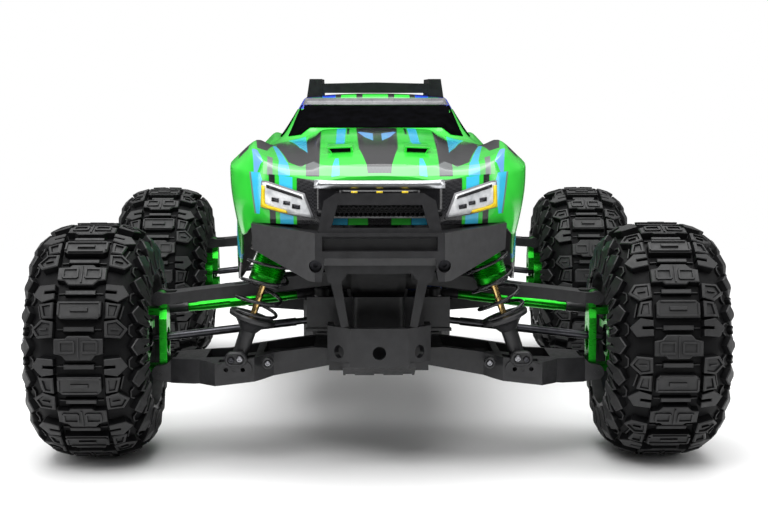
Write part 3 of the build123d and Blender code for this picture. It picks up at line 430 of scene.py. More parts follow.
def tread_row(builder, start):
    """One pitch of the tread: two centre blocks, cross bars and the blocks on both shoulders."""
    block_a = [(-13.5, -5.9), (13.5, -5.9), (13.5, 3.6), (11.4, 5.9), (-11.4, 5.9), (-13.5, 3.6)]
    lug(builder, block_a, start, 5.0, 1)
    rib(builder, [(-12.4, -4.8), (12.4, -4.8)], start, 1.2, 5.9, 1)
    rib(builder, [(-10.8, 4.9), (10.8, 4.9)], start, 1.2, 5.9, 1)
    for sign in (-1, 1):
        rib(builder, [(sign * 12.6, -4.4), (sign * 12.6, 3.4)], start, 1.2, 5.9, 1)
    lug(builder, [(-5.5, -1.2), (5.5, -1.2), (5.5, 1.2), (-5.5, 1.2)], start, 5.9, 1, 0.3)
    half = start + PITCH / 2
    block_b = [
        (-15, -6.2), (-8.4, -6.2), (-6.6, -8), (6.6, -8), (8.4, -6.2), (15, -6.2), (15, 3.6),
        (10.4, 4.6), (7.8, 7.8), (-7.8, 7.8), (-10.4, 4.6), (-15, 3.6),
    ]
    lug(builder, block_b, half, 5.0, 1)
    for sign in (-1, 1):
        frame_u = [(sign * u, v) for u, v in ((2.6, -4.2), (11.4, -4.2), (11.4, 2.6), (2.6, 2.6))]
        rib(builder, frame_u + frame_u[:1], half, 1.4, 6.0, 1)
    rib(builder, [(0, -6.8), (0, 6.4)], half, 0.9, 5.8, 1)
    for quarter in (PITCH / 4, 3 * PITCH / 4):
        bar = start + quarter
        lug(builder, [(-9.5, -1.6), (9.5, -1.6), (9.5, 1.6), (-9.5, 1.6)], bar, 3.4, 1, 0.4)
        rib(builder, [(-14, 0), (-9.5, 0)], bar, 0.8, 1.4, 1)
        rib(builder, [(9.5, 0), (14, 0)], bar, 0.8, 1.4, 1)
    for side in (-1, 1):
        trapezoid = [(15.8, -5.4), (24.4, -4.8), (22.2, 5.2), (15.8, 5.6)]
        lug(builder, trapezoid, start, 5.4, side, sunk=1.3)
        rib(builder, [(26.6, -4.6), (24.6, 5.2)], start, 0.9, 2.4, side)
        plain = [(15.4, -4.8), (22.6, -6.6), (28.6, -0.4), (25.0, 6.0), (15.8, 5.4)]
        lug(builder, plain, start + PITCH / 4, 5.6, side, sunk=1.3)
        rib(builder, [(19, 0), (23.4, 0)], start + PITCH / 4, 0.9, 5.6, side)
        slit = [(15.4, -5.4), (25.0, -6.0), (28.6, 0.4), (22.6, 6.6), (15.4, 4.8), (15.4, 1.1), (21.6, 1.0),
                (21.6, -1.0), (15.4, -1.1)]
        lug(builder, slit, start + 3 * PITCH / 4, 5.5, side, 0.45)
        for at in (0.0, PITCH / 2):
            shoulder = [(30.8, 0), (34.6, -6.6), (51.5, -7.0), (51.5, -1.3), (40, -1.1),
                        (40, 1.1), (51.5, 1.3), (51.5, 7.0), (34.6, 6.6)]
            lug(builder, shoulder, start + at, 4.9, side, 0.55)
            small = [(40.5, 9.0), (52, 8.6), (52, 16.4), (40.5, 16.0), (37.5, 12.5)]
            lug(builder, small, start + at, 3.4, side, 0.4, sunk=0.9)
            edge = [(33.5, 7.5), (31, 9.8), (31, 15.2), (33.5, 17.5)]
            rib(builder, edge, start + at, 0.9, 1.6, side)


def tyre_mesh():
    """Tyre in the wheel's own frame: carcass, tread, bead rings and side ribs."""
    builder = Builder()
    half = [(p.x, p.y) for p in TREAD_LINE]
    half += [(36.4, 47.6), (32.8, 47.6), (33.2, 52), (33, 57), (29, 64), (22, 68), (0, 70)]
    outline = [(-x, r) for x, r in reversed(half[1:-1])] + half
    # the carcass, with the groove floors and sidewalls, is in the darker rubber: painted shade between the
    # blocks
    builder.slot = 1
    builder.lathe(outline, *AXLE, 120, True)
    builder.slot = 0
    for side in (-1, 1):
        for radius, half_thick in ((52.6, 0.7), (55.8, 0.6)):
            x = 37.2 * side
            outer = x + side * 0.9
            ring = [(x - half_thick, radius - 0.9), (outer, radius - 0.5), (outer, radius + 0.5),
                    (x - half_thick, radius + 0.9)]
            builder.lathe(ring, *AXLE, 96, True)
    for row in range(ROWS):
        tread_row(builder, row * PITCH)
    return builder.done("tyre_master", [RUBBER, RUBBER_GROOVE_SHADE], 28)


# ---- wheels
SPOKES = 10
BEAD_SCREWS = 20


def wheel_mesh():
    """Wheel in its own frame, outboard side towards +X: rim, spokes, bead screws, hub and nut."""
    builder = Builder()
    barrel = [
        (-39, 49.8), (-37.4, 50.2), (-36.9, 47.2), (-31, 46.9), (-28, 43.8), (28, 43.8), (31, 46.9),
        (36.9, 47.2), (37.4, 50.2), (39.6, 50.0), (41, 48.6), (41, 44.6), (39.6, 43.2), (32, 42.4),
        (29, 41.2), (-29, 41.2), (-32, 44.4), (-39, 44.8),
    ]
    builder.lathe(barrel, *AXLE, 96, True)
    hub = [(-8, 0), (-8, 14), (-5, 15.5), (2, 15.5), (6, 13.5), (7, 11), (7, 0)]
    builder.lathe(hub, *AXLE, 48)
    for k in range(SPOKES):
        turn = Matrix.Rotation(2 * math.pi * k / SPOKES, 3, "X")
        sections = [(12.5, 4.6, 4.2, 1.0), (20, 3.3, 3.8, 6.5), (31, 2.7, 3.6, 15.5), (41.8, 4.4, 4.0, 23)]
        rings = []
        for radius, half_width, half_depth, x in sections:
            half = [(-1, 1), (0.5, 1), (1, 0.55)]
            ring = [(depth, -width) for depth, width in half] + half[::-1]
            rings.append(builder.points([
                turn @ Vector((x + half_depth * depth, half_width * width, radius)) for depth, width in ring
            ]))
        builder.bridge(rings)
    builder.slot = 1
    for k in range(BEAD_SCREWS):
        angle = 2 * math.pi * (k + 0.5) / BEAD_SCREWS
        centre = (40.4, 46.6 * math.cos(angle), 46.6 * math.sin(angle))
        screw = [(0, 1.5), (1.2, 1.5), (1.5, 1.1), (1.5, 0.7), (0.6, 0.6), (0.6, 0)]
        builder.lathe(screw, centre, AXLE[1], 10)
    builder.lathe([(7, 0), (7, 4.0), (15.5, 4.0), (16.2, 3.4), (16.2, 0)], *AXLE, 24)
    builder.slot = 2
    builder.lathe([(6.9, 10.2), (8.2, 10.2), (8.2, 8.6)], *AXLE, 36)
    builder.lathe([(8.1, 8.4), (13.4, 8.2), (14.4, 7.2), (14.4, 4.2)], *AXLE, 6)
    builder.slot = 1
    builder.lathe([(-35, 9.4), (-35, 8), (-31, 7.6), (-31, 0)], *AXLE, 32)
    stub = [(-35, 9.4), (-22.5, 9.4), (-22.2, 5), (-16, 5), (-16, 9), (-8, 9), (-8, 0)]
    builder.lathe(stub, *AXLE, 32)
    return builder.done("wheel_master", [NYLON, STEEL, GREEN], 32)


def wheels():
    tyre, wheel = tyre_mesh(), wheel_mesh()
    for corner, (sx, sy) in CORNERS.items():
        for master, kind, slot in ((tyre, "tyre", "tyre"), (wheel, "rim", "wheel_plastic")):
            mesh = master.data.copy()
            if kind == "tyre":
                turn = LUG_LEAN if sy < 0 else LUG_LEAN + math.pi / ROWS
                mesh.transform(Matrix.Rotation(-sx * turn, 4, "X"))
            piece = bpy.data.objects.new(f"{kind}_{corner}_detail", mesh)
            bpy.context.scene.collection.objects.link(piece)
            piece.location = (sx * TYRE_X * MM, sy * AXLE_Y * MM, HUB_Z * MM)
            if sx < 0:
                piece.rotation_euler = (0, 0, math.pi)
            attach(piece, f"wheel_{corner}")
            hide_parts(f"{kind}_{corner}")
    for master in (tyre, wheel):
        bpy.data.objects.remove(master)


# ---- dampers
KNURLS = 16
THREADS = 17
COIL_STEPS = 112
COIL_TURNS = 4.0


def shock_pieces(corner, sx, sy):
    """Damper body, rod with its perch, and coil, each with its own finish."""
    top = Vector((sx * SHOCK_TOP.x, sy * SHOCK_TOP.y, SHOCK_TOP.z))
    foot = Vector((sx * SHOCK_FOOT.x, sy * SHOCK_FOOT.y, SHOCK_FOOT.z))
    down = (foot - top).normalized()
    length = (foot - top).length

    body = Builder()
    body.slot = 1
    threads = []
    for k in range(THREADS):
        threads += [(19 + k * 1.4, 10.4), (19.7 + k * 1.4, 11.1)]
    body.lathe([(17, 10.4), *threads, (43.4, 10.4), (46.4, 10.6), (47, 10.2), (47, 9)], top, down, 48)
    body.slot = 0
    body.lathe([(4.5, 5.4), (6.5, 7), (8, 11), (9, 12), (17, 12), (18, 11.2), (18, 10)], top, down, 48)
    body.lathe([(46.8, 10.3), (47.2, 10.9), (48.6, 10.4), (49.2, 9.2), (49.2, 2.4)], top, down, 48)
    knurl = [
        (20.2, 11), (20.2, 15.6), (21, 16.2), (22.4, 16.2), (22.8, 15.2), (24.4, 15.2), (26, 16.2), (26, 11),
    ]
    body.lathe(knurl, top, down, 64, True)
    across = down.orthogonal().normalized()
    for k in range(KNURLS):
        spoke = Matrix.Rotation(2 * math.pi * k / KNURLS, 3, down) @ across
        body.lathe([(21.2, 0.9), (25.4, 0.9)], top + spoke * 15.6, down, 8)
    eye = [(-4.5, 2.05), (-4.5, 6.1), (-4.1, 6.5), (4.1, 6.5), (4.5, 6.1), (4.5, 2.05)]
    body.lathe(eye, top, (0, 1, 0), 40, True)
    piece = body.done(f"damper_body_{corner}", [NYLON, GREEN])
    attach(piece, f"shock_body_{corner}")
    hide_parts(f"shock_body_{corner}")

    rod = Builder()
    rod.slot = 1
    rod.lathe([(40, 2.2), (length - 26, 2.2)], top, down, 24)
    rod.slot = 0
    perch = length - 37
    rod.lathe(
        [(perch - 0.8, 9.4), (perch - 0.2, 10.2), (perch, 15.4), (perch + 1, 15.9), (perch + 3.2, 15.4),
         (perch + 4.4, 11.0), (perch + 7, 8.6), (perch + 10, 6.4), (perch + 11, 5.4), (perch + 27.6, 5.0),
         (perch + 28.2, 4.4), (perch + 33, 4.2), (perch + 33.4, 3)], top, down, 48)
    rod_eye = [(-4.5, 2.25), (-4.5, 4.8), (-4.1, 5.2), (4.1, 5.2), (4.5, 4.8), (4.5, 2.25)]
    rod.lathe(rod_eye, foot, (0, 1, 0), 32, True)
    rod.slot = 2
    rod.lathe([(-3.9, 2.2), (-3.9, 3.3), (3.9, 3.3), (3.9, 2.2)], foot, (0, 1, 0), 24, True)
    piece = rod.done(f"damper_rod_{corner}", [NYLON, GOLD, STEEL])
    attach(piece, f"shock_rod_{corner}")
    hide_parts(f"shock_rod_{corner}")

    coil = Builder()
    first, last, wire, radius = 27.4, perch - 1.3, 1.15, 14.6
    path = []
    for k in range(COIL_STEPS + 1):
        share = k / COIL_STEPS
        eased = share + 0.055 * math.sin(2 * math.pi * share) * -1
        spoke = Matrix.Rotation(2 * math.pi * COIL_TURNS * share, 3, down) @ across
        path.append(top + down * (first + (last - first) * eased) + spoke * radius)
    coil.tube(path, wire, 10)
    piece = coil.done(f"damper_spring_{corner}", SPRING, 60)
    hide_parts(f"shock_spring_{corner}")
    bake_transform(piece)


def dampers():
    for corner, (sx, sy) in CORNERS.items():
        shock_pieces(corner, sx, sy)


# ---- steering links and arm bosses
def toe_links():
    """Steering links: green turned bars between black plastic rod ends."""
    for side, sign in (("left", 1), ("right", -1)):
        inner, outer = (Vector((sign * p.x, p.y, p.z)) for p in (TOE_IN, TOE_OUT))
        length = (outer - inner).length
        along = (outer - inner).normalized()
        builder = Builder()
        bar = [(17, 1.6), (17, 2.6), (18, 2.9), (24, 2.9), (26, 3.3), (length - 36, 3.3), (length - 34, 2.9),
               (length - 29, 2.9), (length - 28, 2.6), (length - 28, 1.6)]
        builder.lathe(bar, inner, along, 28)
        builder.lathe([(54, 3.2), (54, 3.9), (64, 3.9), (64, 3.2)], inner, along, 6)
        builder.slot = 1
        for start, end, way in ((inner, 17.2, along), (outer, 28.2, -along)):
            neck = [(4.6, 2.2), (7, 2.6), (9, 3.0), (end - 4, 3.2), (end - 3, 3.5), (end, 3.4), (end, 2)]
            builder.lathe(neck, start, way, 24)
            ring = [(-2.9, 3.5), (-2.9, 4.8), (-2.3, 5.4), (2.3, 5.4), (2.9, 4.8), (2.9, 3.5)]
            builder.lathe(ring, start, (0, 0, 1), 32, True)
        piece = builder.done(f"toe_link_{side}_detail", [GREEN, NYLON])
        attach(piece, f"toe_link_{side}")
        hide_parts(f"toe_link_{side}")


def screw_head(builder, centre, way, radius):
    """Round screw head with a sunk hexagonal socket."""
    profile = [(-1.5, radius), (0.6, radius), (1.3, radius * 0.8), (1.5, radius * 0.55)]
    builder.lathe(profile + [(0.5, radius * 0.5), (0.5, 0)], centre, way, 24)


def arm_bosses():
    """Oval boss over the damper's pin and a smaller ringed screw on the face of each lower arm."""
    for corner, (sx, sy) in CORNERS.items():
        way = Vector((0, sy, 0))
        builder = Builder()
        rings = []
        for depth, inset in ((220.8, 0), (225.6, 0), (226.4, 0.8), (226.4, 1.8), (225.4, 2.0)):
            ring = []
            for k in range(36):
                turn = 2 * math.pi * k / 36
                reach = 2.4 if math.cos(turn) > 0 else -2.4
                x = 94 + reach + (5 - inset) * math.cos(turn)
                ring.append((sx * x, sy * depth, 73 + (5 - inset) * math.sin(turn)))
            rings.append(builder.points(ring))
        builder.bridge(rings)
        builder.face(rings[-1])
        small = [(220.6, 3.8), (224.6, 3.8), (225.2, 3.2), (225.2, 2.5), (224, 2.4), (224, 0)]
        builder.lathe(small, (sx * 73.1, 0, 70.2), way, 28)
        builder.slot = 1
        screw_head(builder, Vector((sx * 91.4, sy * 225.8, 73.4)), way, 2.3)
        screw_head(builder, Vector((sx * 73.1, sy * 223.8, 70.2)), way, 2.1)
        builder.slot = 2
        screw_head(builder, Vector((sx * 97, sy * 225.4, 72.6)), way, 2.1)
        piece = builder.done(f"arm_boss_{corner}", [NYLON, STEEL, DARK_STEEL])
        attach(piece, f"lower_arm_{corner}")


# ---- body shell
# Stations from the nose to the tail. Each half section runs from the lower edge, over the flare,
# the fender and the valley, to the hood or cab and its centre line: (half width, height).
CAB_SIDE = [(104, 106), (106, 132), (102, 168), (96, 188), (84, 206)]
SECTIONS = [
    (-264, [(37, 165), (39, 169), (40, 177), (40, 186), (38.5, 191),
        (33, 193), (26, 194), (20, 195), (10, 195.6), (0, 196)]),
    (-254, [(54, 164.5), (56, 169), (58, 178), (57, 188), (54, 194),
        (48, 197.5), (41, 199.5), (34, 201.5), (17, 202.4), (0, 202.8)]),
    (-240, [(73, 164), (75, 169), (77, 178), (76, 192), (73, 202),
        (61, 200.4), (48, 200), (38, 204), (19, 205), (0, 205.4)]),
    (-226, [(83, 163), (86, 169), (88, 180), (87, 197), (81, 209.4),
        (68, 203), (52, 202), (40, 206.4), (20, 207.4), (0, 207.8)]),
    (-208, [(90, 150), (93, 160), (97, 180), (97, 197), (84, 212.6),
        (70, 205), (53, 204), (41, 208.6), (21, 209.6), (0, 210)]),
    (-186, [(95, 158), (97, 168), (100, 186), (100, 200), (83.5, 215.8),
        (72, 206.6), (54, 206), (42, 210.8), (22, 211.8), (0, 212.2)]),
    (-160, [(96, 162), (98, 170), (100.5, 188), (100, 201), (82.5, 216.6),
        (71.5, 207.4), (54, 207.6), (42, 213), (23, 214), (0, 214.4)]),
    (-132, [(96, 136), (98, 152), (100.5, 180), (99.4, 197), (82.5, 214.6),
        (72, 208), (54, 209.6), (42, 215.4), (23, 216.4), (0, 216.8)]),
    (-104, [(101, 114), (103, 138), (102, 172), (98, 191), (82.5, 210.4),
        (74, 208), (53, 211.6), (41, 218), (22, 219), (0, 219.2)]),
    (-72, [(104, 107), (105, 132), (102, 168), (97, 188), (84, 207),
        (75, 208.4), (52, 213), (39, 220), (21, 221), (0, 221.2)]),
    (-60, [(104, 106), (105.4, 132), (102, 168), (97, 188), (84, 206),
        (77, 208.4), (56, 212.6), (43, 217.4), (23, 218.6), (0, 219)]),
    (-32, CAB_SIDE + [(77, 208.6), (67, 216), (58.5, 226.5), (28, 230), (0, 230.6)]),
    (-4, CAB_SIDE + [(76, 209), (62.5, 231), (56, 242.5), (28, 245), (0, 245.4)]),
    (8, CAB_SIDE + [(75.6, 209), (61.5, 233), (54.6, 243.6), (28, 245.8), (0, 246.2)]),
    (50, CAB_SIDE + [(75.4, 209), (61.5, 233), (54.6, 243.6), (28, 245.8), (0, 246.2)]),
    (88, [(104, 107), (105.6, 132), (102, 168), (97, 190), (85, 206.6),
        (76, 209), (62, 232), (55, 243), (28, 245.2), (0, 245.6)]),
    (98, [(103, 110), (105, 136), (102, 168), (98, 191), (86, 207),
        (76.4, 208.6), (64, 224), (57, 236), (28, 239), (0, 239.4)]),
    (112, [(102, 116), (104, 142), (102, 172), (99, 192), (87, 208),
        (77, 207.6), (69, 207.4), (60, 208.4), (30, 209), (0, 209)]),
    (134, [(98, 138), (100, 154), (102, 180), (100.5, 195), (88, 210),
        (77, 206.6), (69, 202), (62, 200), (30, 200), (0, 200)]),
    (160, [(96, 160), (98, 170), (102, 188), (102, 198), (89, 211.6),
        (77, 206.6), (69, 200.6), (62, 198.6), (30, 198.6), (0, 198.6)]),
    (186, [(96, 166), (98, 173), (102, 189), (102, 198), (89, 211.6),
        (77, 206), (69, 200), (62, 198), (30, 198), (0, 198)]),
    (212, [(96, 160), (98, 169), (101, 187), (100, 197), (88, 209.6),
        (77, 205), (69, 199.6), (62, 197.6), (30, 197.6), (0, 197.6)]),
    (238, [(93, 148), (96, 160), (97, 182), (95, 192), (86, 204.6),
        (77, 203), (69, 199), (62, 197.4), (30, 197.4), (0, 197.4)]),
    (256, [(85, 150), (88, 160), (89, 180), (87, 188), (80, 198),
        (72, 199), (66, 197.6), (58, 196.6), (30, 196.6), (0, 196.6)]),
]
CREASED_ROWS = {3: 0.55, 4: 0.4, 6: 0.5, 7: 0.7}
CREASED_STATIONS = {0: 0.85, 1: 0.3, 2: 0.35, 9: 0.3, 10: 0.75, 12: 0.55, 16: 0.5, 17: 0.75, 23: 0.85}


def paint():
    """Clear shell painted from inside: green, with black, cyan and grey patches, and blue roof edges. A pale
    band over the hood's lip is a painted highlight, and so is the grey tone of one dark stripe beside it.
    """
    made = Shader("shell_paint", (0.02, 0.6, 0.03), 0.2, specular=0.4, coat=0.3)
    made.set(made.bsdf, "Coat Roughness", 0.08)
    split = made.nodes.new("ShaderNodeSeparateXYZ")
    made.set(split, 0, made.place())
    a = made.math("MULTIPLY", made.math("ABSOLUTE", split.outputs[0]), 1000.0)
    y = made.math("MULTIPLY", split.outputs[1], 1000.0)
    z = made.math("MULTIPLY", split.outputs[2], 1000.0)
    axes = {"a": a, "y": y, "z": z}

    def region(first, second, corners, soft=0.5):
        """1 inside a convex outline, drawn in two of the shell's own directions."""
        area = sum(p[0] * q[1] - q[0] * p[1] for p, q in zip(corners, corners[1:] + corners[:1]))
        ordered = corners if area > 0 else corners[::-1]
        inside = None
        for p, q in zip(ordered, ordered[1:] + ordered[:1]):
            n = Vector((p[1] - q[1], q[0] - p[0])).normalized()
            along = made.math("MULTIPLY_ADD", axes[first], n.x, -(n.x * p[0] + n.y * p[1]))
            signed = made.math("MULTIPLY_ADD", axes[second], n.y, along)
            inside = signed if inside is None else made.math("MINIMUM", inside, signed)
        node = made.nodes.new("ShaderNodeMapRange")
        made.set(node, "Value", inside)
        made.set(node, "From Min", -soft / 2)
        made.set(node, "From Max", soft / 2)
        return node.outputs["Result"]

    green = made.ramp(made.noise(22, 2), (0.02, 0.60, 0.035), (0.06, 0.84, 0.07))
    weave = made.nodes.new("ShaderNodeTexChecker")
    made.set(weave, "Vector", made.place())
    made.set(weave, "Scale", 900.0)
    made.set(weave, "Color1", (0.012, 0.012, 0.014, 1))
    made.set(weave, "Color2", (0.032, 0.032, 0.035, 1))
    carbon = weave.outputs["Color"]
    cyan, blue, grey = (0.05, 0.58, 0.90), (0.015, 0.05, 0.60), (0.20, 0.23, 0.22)
    deep, pale = (0.006, 0.012, 0.009), (0.62, 0.66, 0.66)
    light_blue, navy = (0.16, 0.42, 0.86), (0.01, 0.02, 0.10)
    colour = green

    def lay(where, first, second, patches):
        nonlocal colour
        for patch_colour, corners in patches:
            mask = made.math("MULTIPLY", where, region(first, second, corners))
            colour = made.mix(mask, colour, patch_colour)

    # hood: dark middle with a blue V, cyan slashes, dark strips beside the dome and over the fenders
    lay(region("y", "z", [(-262, 195), (-40, 195), (-40, 230), (-262, 230)]), "a", "y", (
        (carbon, [(-5, -262), (12, -262), (13, -200), (20, -122), (20, -60), (-5, -60)]),
        (light_blue, [(3, -178), (9, -140), (17, -112), (12, -106), (3, -118)]),
        (deep, [(20, -122), (21.6, -122), (21.6, -60), (20, -60)]),
        (cyan, [(22.6, -198), (28.4, -198), (29.4, -60), (22.6, -60)]),
        (cyan, [(25, -262), (30, -262), (28, -236), (26, -236)]),
        (carbon, [(37.5, -262), (46, -262), (50, -150), (50, -76), (41, -76)]),
        (cyan, [(47, -200), (53, -60), (66, -60)]),
        (carbon, [(46.4, -234), (50, -240), (58.5, -226), (71, -140), (74, -64), (66, -64), (47, -200)]),
        (cyan, [(55.5, -262), (63.5, -262), (64.5, -226), (59, -226)]),
        (cyan, [(59.5, -226), (64.5, -226), (74, -140), (71, -140)]),
        # painted highlight: this stripe is dark, and lies grey here on the hood where the lip's light band
        # crosses it; on the nose below, the same stripe is dark (deep)
        (grey, [(66.7, -262), (70.3, -262), (72.5, -218), (69, -218)]),
        (carbon, [(74, -196), (80, -204), (84, -160), (82, -110), (74, -64), (72, -110)]),
        (carbon, [(86, -204), (93, -200), (92, -128), (86, -128)]),
        (light_blue, [(74.5, -236), (80, -236), (83, -212), (79.5, -212)]),
    ))
    # nose and front corners: the bands go on below the hood's edge
    nose = region("y", "z", [(-300, 100), (-205, 100), (-205, 202), (-240, 196.4), (-300, 195)])
    lay(nose, "a", "z", (
        (carbon, [(-5, 100), (52, 100), (52, 201), (-5, 201)]),
        (cyan, [(52.5, 100), (61.5, 100), (63.5, 201), (55, 201)]),
        (deep, [(64.2, 100), (68.4, 100), (70.4, 204), (66.4, 204)]),
        (cyan, [(83.5, 205), (79, 170), (76.6, 170), (74.4, 191), (79, 205)]),
        (grey, [(84.8, 205), (80, 170), (79, 170), (83.5, 205)]),
    ))
    lay(region("y", "z", [(-300, 160), (-250, 160), (-250, 170), (-300, 170)]), "a", "z", (
        (cyan, [(20, 160), (30, 160), (30, 170), (20, 170)]),
        (green, [(7.4, 160), (19.6, 160), (19.6, 170), (7.4, 170)]),
    ))
    # the hood's front lip: a painted highlight, pale colour mixed in at 0.26 as a light band along the edge
    lip = region("y", "z", [(-266, 195.6), (-236, 195.6), (-236, 203.4), (-266, 200)])
    lay(made.math("MULTIPLY", lip, 0.26), "a", "z", ((pale, [(-5, 190), (74, 190), (74, 210), (-5, 210)]),))
    # sides: dark sill, cyan and black slashes
    side = region("a", "z", [(82, 90), (120, 90), (120, 204), (88, 204)])
    lay(side, "y", "z", (
        (carbon, [(-150, 90), (140, 90), (140, 128), (-40, 140), (-150, 118)]),
        (cyan, [(-128, 128), (-110, 128), (-74, 196), (-92, 200)]),
        (carbon, [(-106, 126), (-86, 128), (-50, 196), (-70, 196)]),
        (blue, [(-84, 130), (-76, 131), (-40, 196), (-48, 196)]),
        (cyan, [(20, 136), (34, 136), (70, 200), (56, 200)]),
        (carbon, [(40, 136), (62, 136), (98, 200), (76, 200)]),
        (blue, [(68, 136), (74, 136), (110, 200), (104, 200)]),
        (cyan, [(196, 170), (206, 170), (226, 205), (216, 205)]),
        (carbon, [(212, 150), (262, 150), (262, 205), (232, 205)]),
    ))
    # cab: blue corners at the top, then blocks across the roof
    lay(region("y", "z", [(-56, 234), (112, 234), (112, 250), (-56, 250)]), "a", "z", (
        (blue, [(50, 234), (80, 234), (80, 250), (50, 250)]),
    ))
    lay(region("y", "z", [(-14, 242.6), (98, 242.6), (98, 250), (-14, 250)]), "a", "y", (
        (navy, [(41.7, -20), (60, -20), (60, 100), (41.7, 100)]),
        (blue, [(31.3, -20), (41.7, -20), (41.7, 100), (31.3, 100)]),
        (carbon, [(27, -20), (31.3, -20), (31.3, 100), (27, 100)]),
        (carbon, [(10, -20), (15, -20), (15, 100), (10, 100)]),
    ))
    # rear deck: dark floor between green fenders
    lay(region("y", "z", [(108, 190), (258, 190), (258, 212), (108, 212)]), "a", "y", (
        (carbon, [(-5, 106), (72, 106), (72, 260), (-5, 260)]),
        (cyan, [(30, 106), (36, 106), (44, 260), (38, 260)]),
    ))
    made.color(colour)
    made.rough(made.ramp(made.noise(120, 3), 0.12, 0.22))
    made.bump(made.noise(35, 2), 0.05, 0.4)
    return made.material


PAINT = paint()


def shell_cage():
    """Control cage of the shell, closed at the nose and tail, open underneath."""
    bm = bmesh.new()
    crease = bm.edges.layers.float.new("crease_edge")
    rows = len(SECTIONS[0][1])
    grid = []
    for y, half in SECTIONS:
        whole = half + [(-x, z) for x, z in reversed(half[:-1])]
        grid.append([bm.verts.new(Vector((x, y, z)) * MM) for x, z in whole])
    for i in range(len(grid) - 1):
        for j in range(2 * rows - 2):
            bm.faces.new([grid[i][j], grid[i][j + 1], grid[i + 1][j + 1], grid[i + 1][j]])
    for end in (0, len(grid) - 1):
        ring = grid[end]
        last = len(ring) - 1
        for j in range(rows - 2):
            bm.faces.new([ring[j], ring[j + 1], ring[last - j - 1], ring[last - j]])
        bm.faces.new([ring[rows - 2], ring[rows - 1], ring[rows]])
    for i, ring in enumerate(grid):
        for j in range(len(ring) - 1):
            edge = bm.edges.get((ring[j], ring[j + 1]))
            edge[crease] = CREASED_STATIONS.get(i, 0.0)
    for i in range(len(grid) - 1):
        for row, value in CREASED_ROWS.items():
            for j in (row, 2 * rows - 2 - row):
                edge = bm.edges.get((grid[i][j], grid[i + 1][j]))
                edge[crease] = value
    bmesh.ops.recalc_face_normals(bm, faces=bm.faces)
    mesh = bpy.data.meshes.new("body_shell_detail")
    bm.to_mesh(mesh)
    bm.free()
    return mesh


def applied(piece):
    """The piece's mesh with its modifiers applied."""
    depsgraph = bpy.context.evaluated_depsgraph_get()
    return bpy.data.meshes.new_from_object(piece.evaluated_get(depsgraph))


def body_shell():
    piece = link("body_shell_detail", shell_cage(), [PAINT, CASE], 40)
    smooth = piece.modifiers.new("curves", "SUBSURF")
    smooth.levels = smooth.render_levels = 3
    piece.data = applied(piece)
    piece.modifiers.clear()
    surface = bmesh.new()
    surface.from_mesh(piece.data)
    tree = BVHTree.FromBMesh(surface)
    surface.free()
    wall = piece.modifiers.new("wall", "SOLIDIFY")
    wall.thickness = 1.6 * MM
    wall.offset = -1
    wall.material_offset = 1
    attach(piece, "body_cover")
    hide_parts("body_shell")
    return tree


VIEWS = {
    "front": (lambda u, v: (u, -400, v), (0, 1, 0)),
    "back": (lambda u, v: (u, 400, v), (0, -1, 0)),
    "left": (lambda u, v: (300, u, v), (-1, 0, 0)),
    "right": (lambda u, v: (-300, u, v), (1, 0, 0)),
    "top": (lambda u, v: (u, v, 400), (0, 0, -1)),
    "screen": (lambda u, v: (u, -57, v), (0, 1, 0)),
}


GLASS = (0.15, 0.35)  # a window's height off the shell and its thickness
LAMP_GAP = 15.8


def inside(point, outline):
    crossings = False
    for (x0, y0), (x1, y1) in zip(outline, outline[1:] + outline[:1]):
        if (y0 > point[1]) != (y1 > point[1]) and point[0] < (x1 - x0) * (point[1] - y0) / (y1 - y0) + x0:
            crossings = not crossings
    return crossings


def divided(outline, step):
    """The outline with long sides divided."""
    line = []
    for a, b in zip(outline, outline[1:] + outline[:1]):
        count = max(1, int(math.dist(a, b) / step))
        line += [(a[0] + (b[0] - a[0]) * k / count, a[1] + (b[1] - a[1]) * k / count) for k in range(count)]
    return line


def conform(name, tree, view, outline, lift, thick, material, step=4.0):
    """Patch laid on the shell: an outline seen from one side, thrown onto the surface."""
    source, direction = VIEWS[view]
    border = divided(outline, step)
    us, vs = [p[0] for p in border], [p[1] for p in border]
    core = shrink(outline, step * 0.6)
    fill = []
    u = min(us)
    while u < max(us):
        v = min(vs)
        while v < max(vs):
            if inside((u, v), core):
                fill.append((u, v))
            v += step
        u += step
    edges = [(i, (i + 1) % len(border)) for i in range(len(border))]
    points, _, faces, *_ = geometry.delaunay_2d_cdt([Vector(p) for p in border + fill], edges, [], 1, 1e-4)
    verts = []
    for p in points:
        start = Vector(source(p.x, p.y)) * MM
        hit, normal, _, _ = tree.ray_cast(start, Vector(direction))
        if hit is None:
            near, normal, _, _ = tree.find_nearest(start + Vector(direction) * 0.3)
            hit = near
        if normal.dot(Vector(direction)) > 0:
            normal = -normal
        verts.append(hit + normal * lift * MM)
    mesh = bpy.data.meshes.new(name)
    mesh.from_pydata(verts, [], [list(f) for f in faces])
    bm = bmesh.new()
    bm.from_mesh(mesh)
    bmesh.ops.recalc_face_normals(bm, faces=bm.faces)
    bm.faces.ensure_lookup_table()
    if bm.faces[0].normal.dot(Vector(direction)) > 0:
        bmesh.ops.reverse_faces(bm, faces=bm.faces)
    bm.to_mesh(mesh)
    bm.free()
    piece = link(name, mesh, material, 40)
    solid = piece.modifiers.new("thickness", "SOLIDIFY")
    solid.thickness = thick * MM
    solid.offset = 1
    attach(piece, "body_cover")


def flipped(outline):
    return [(-u, v) for u, v in reversed(outline)]


def band(half_width, low, high):
    return [(-half_width, low), (half_width, low), (half_width, high), (-half_width, high)]


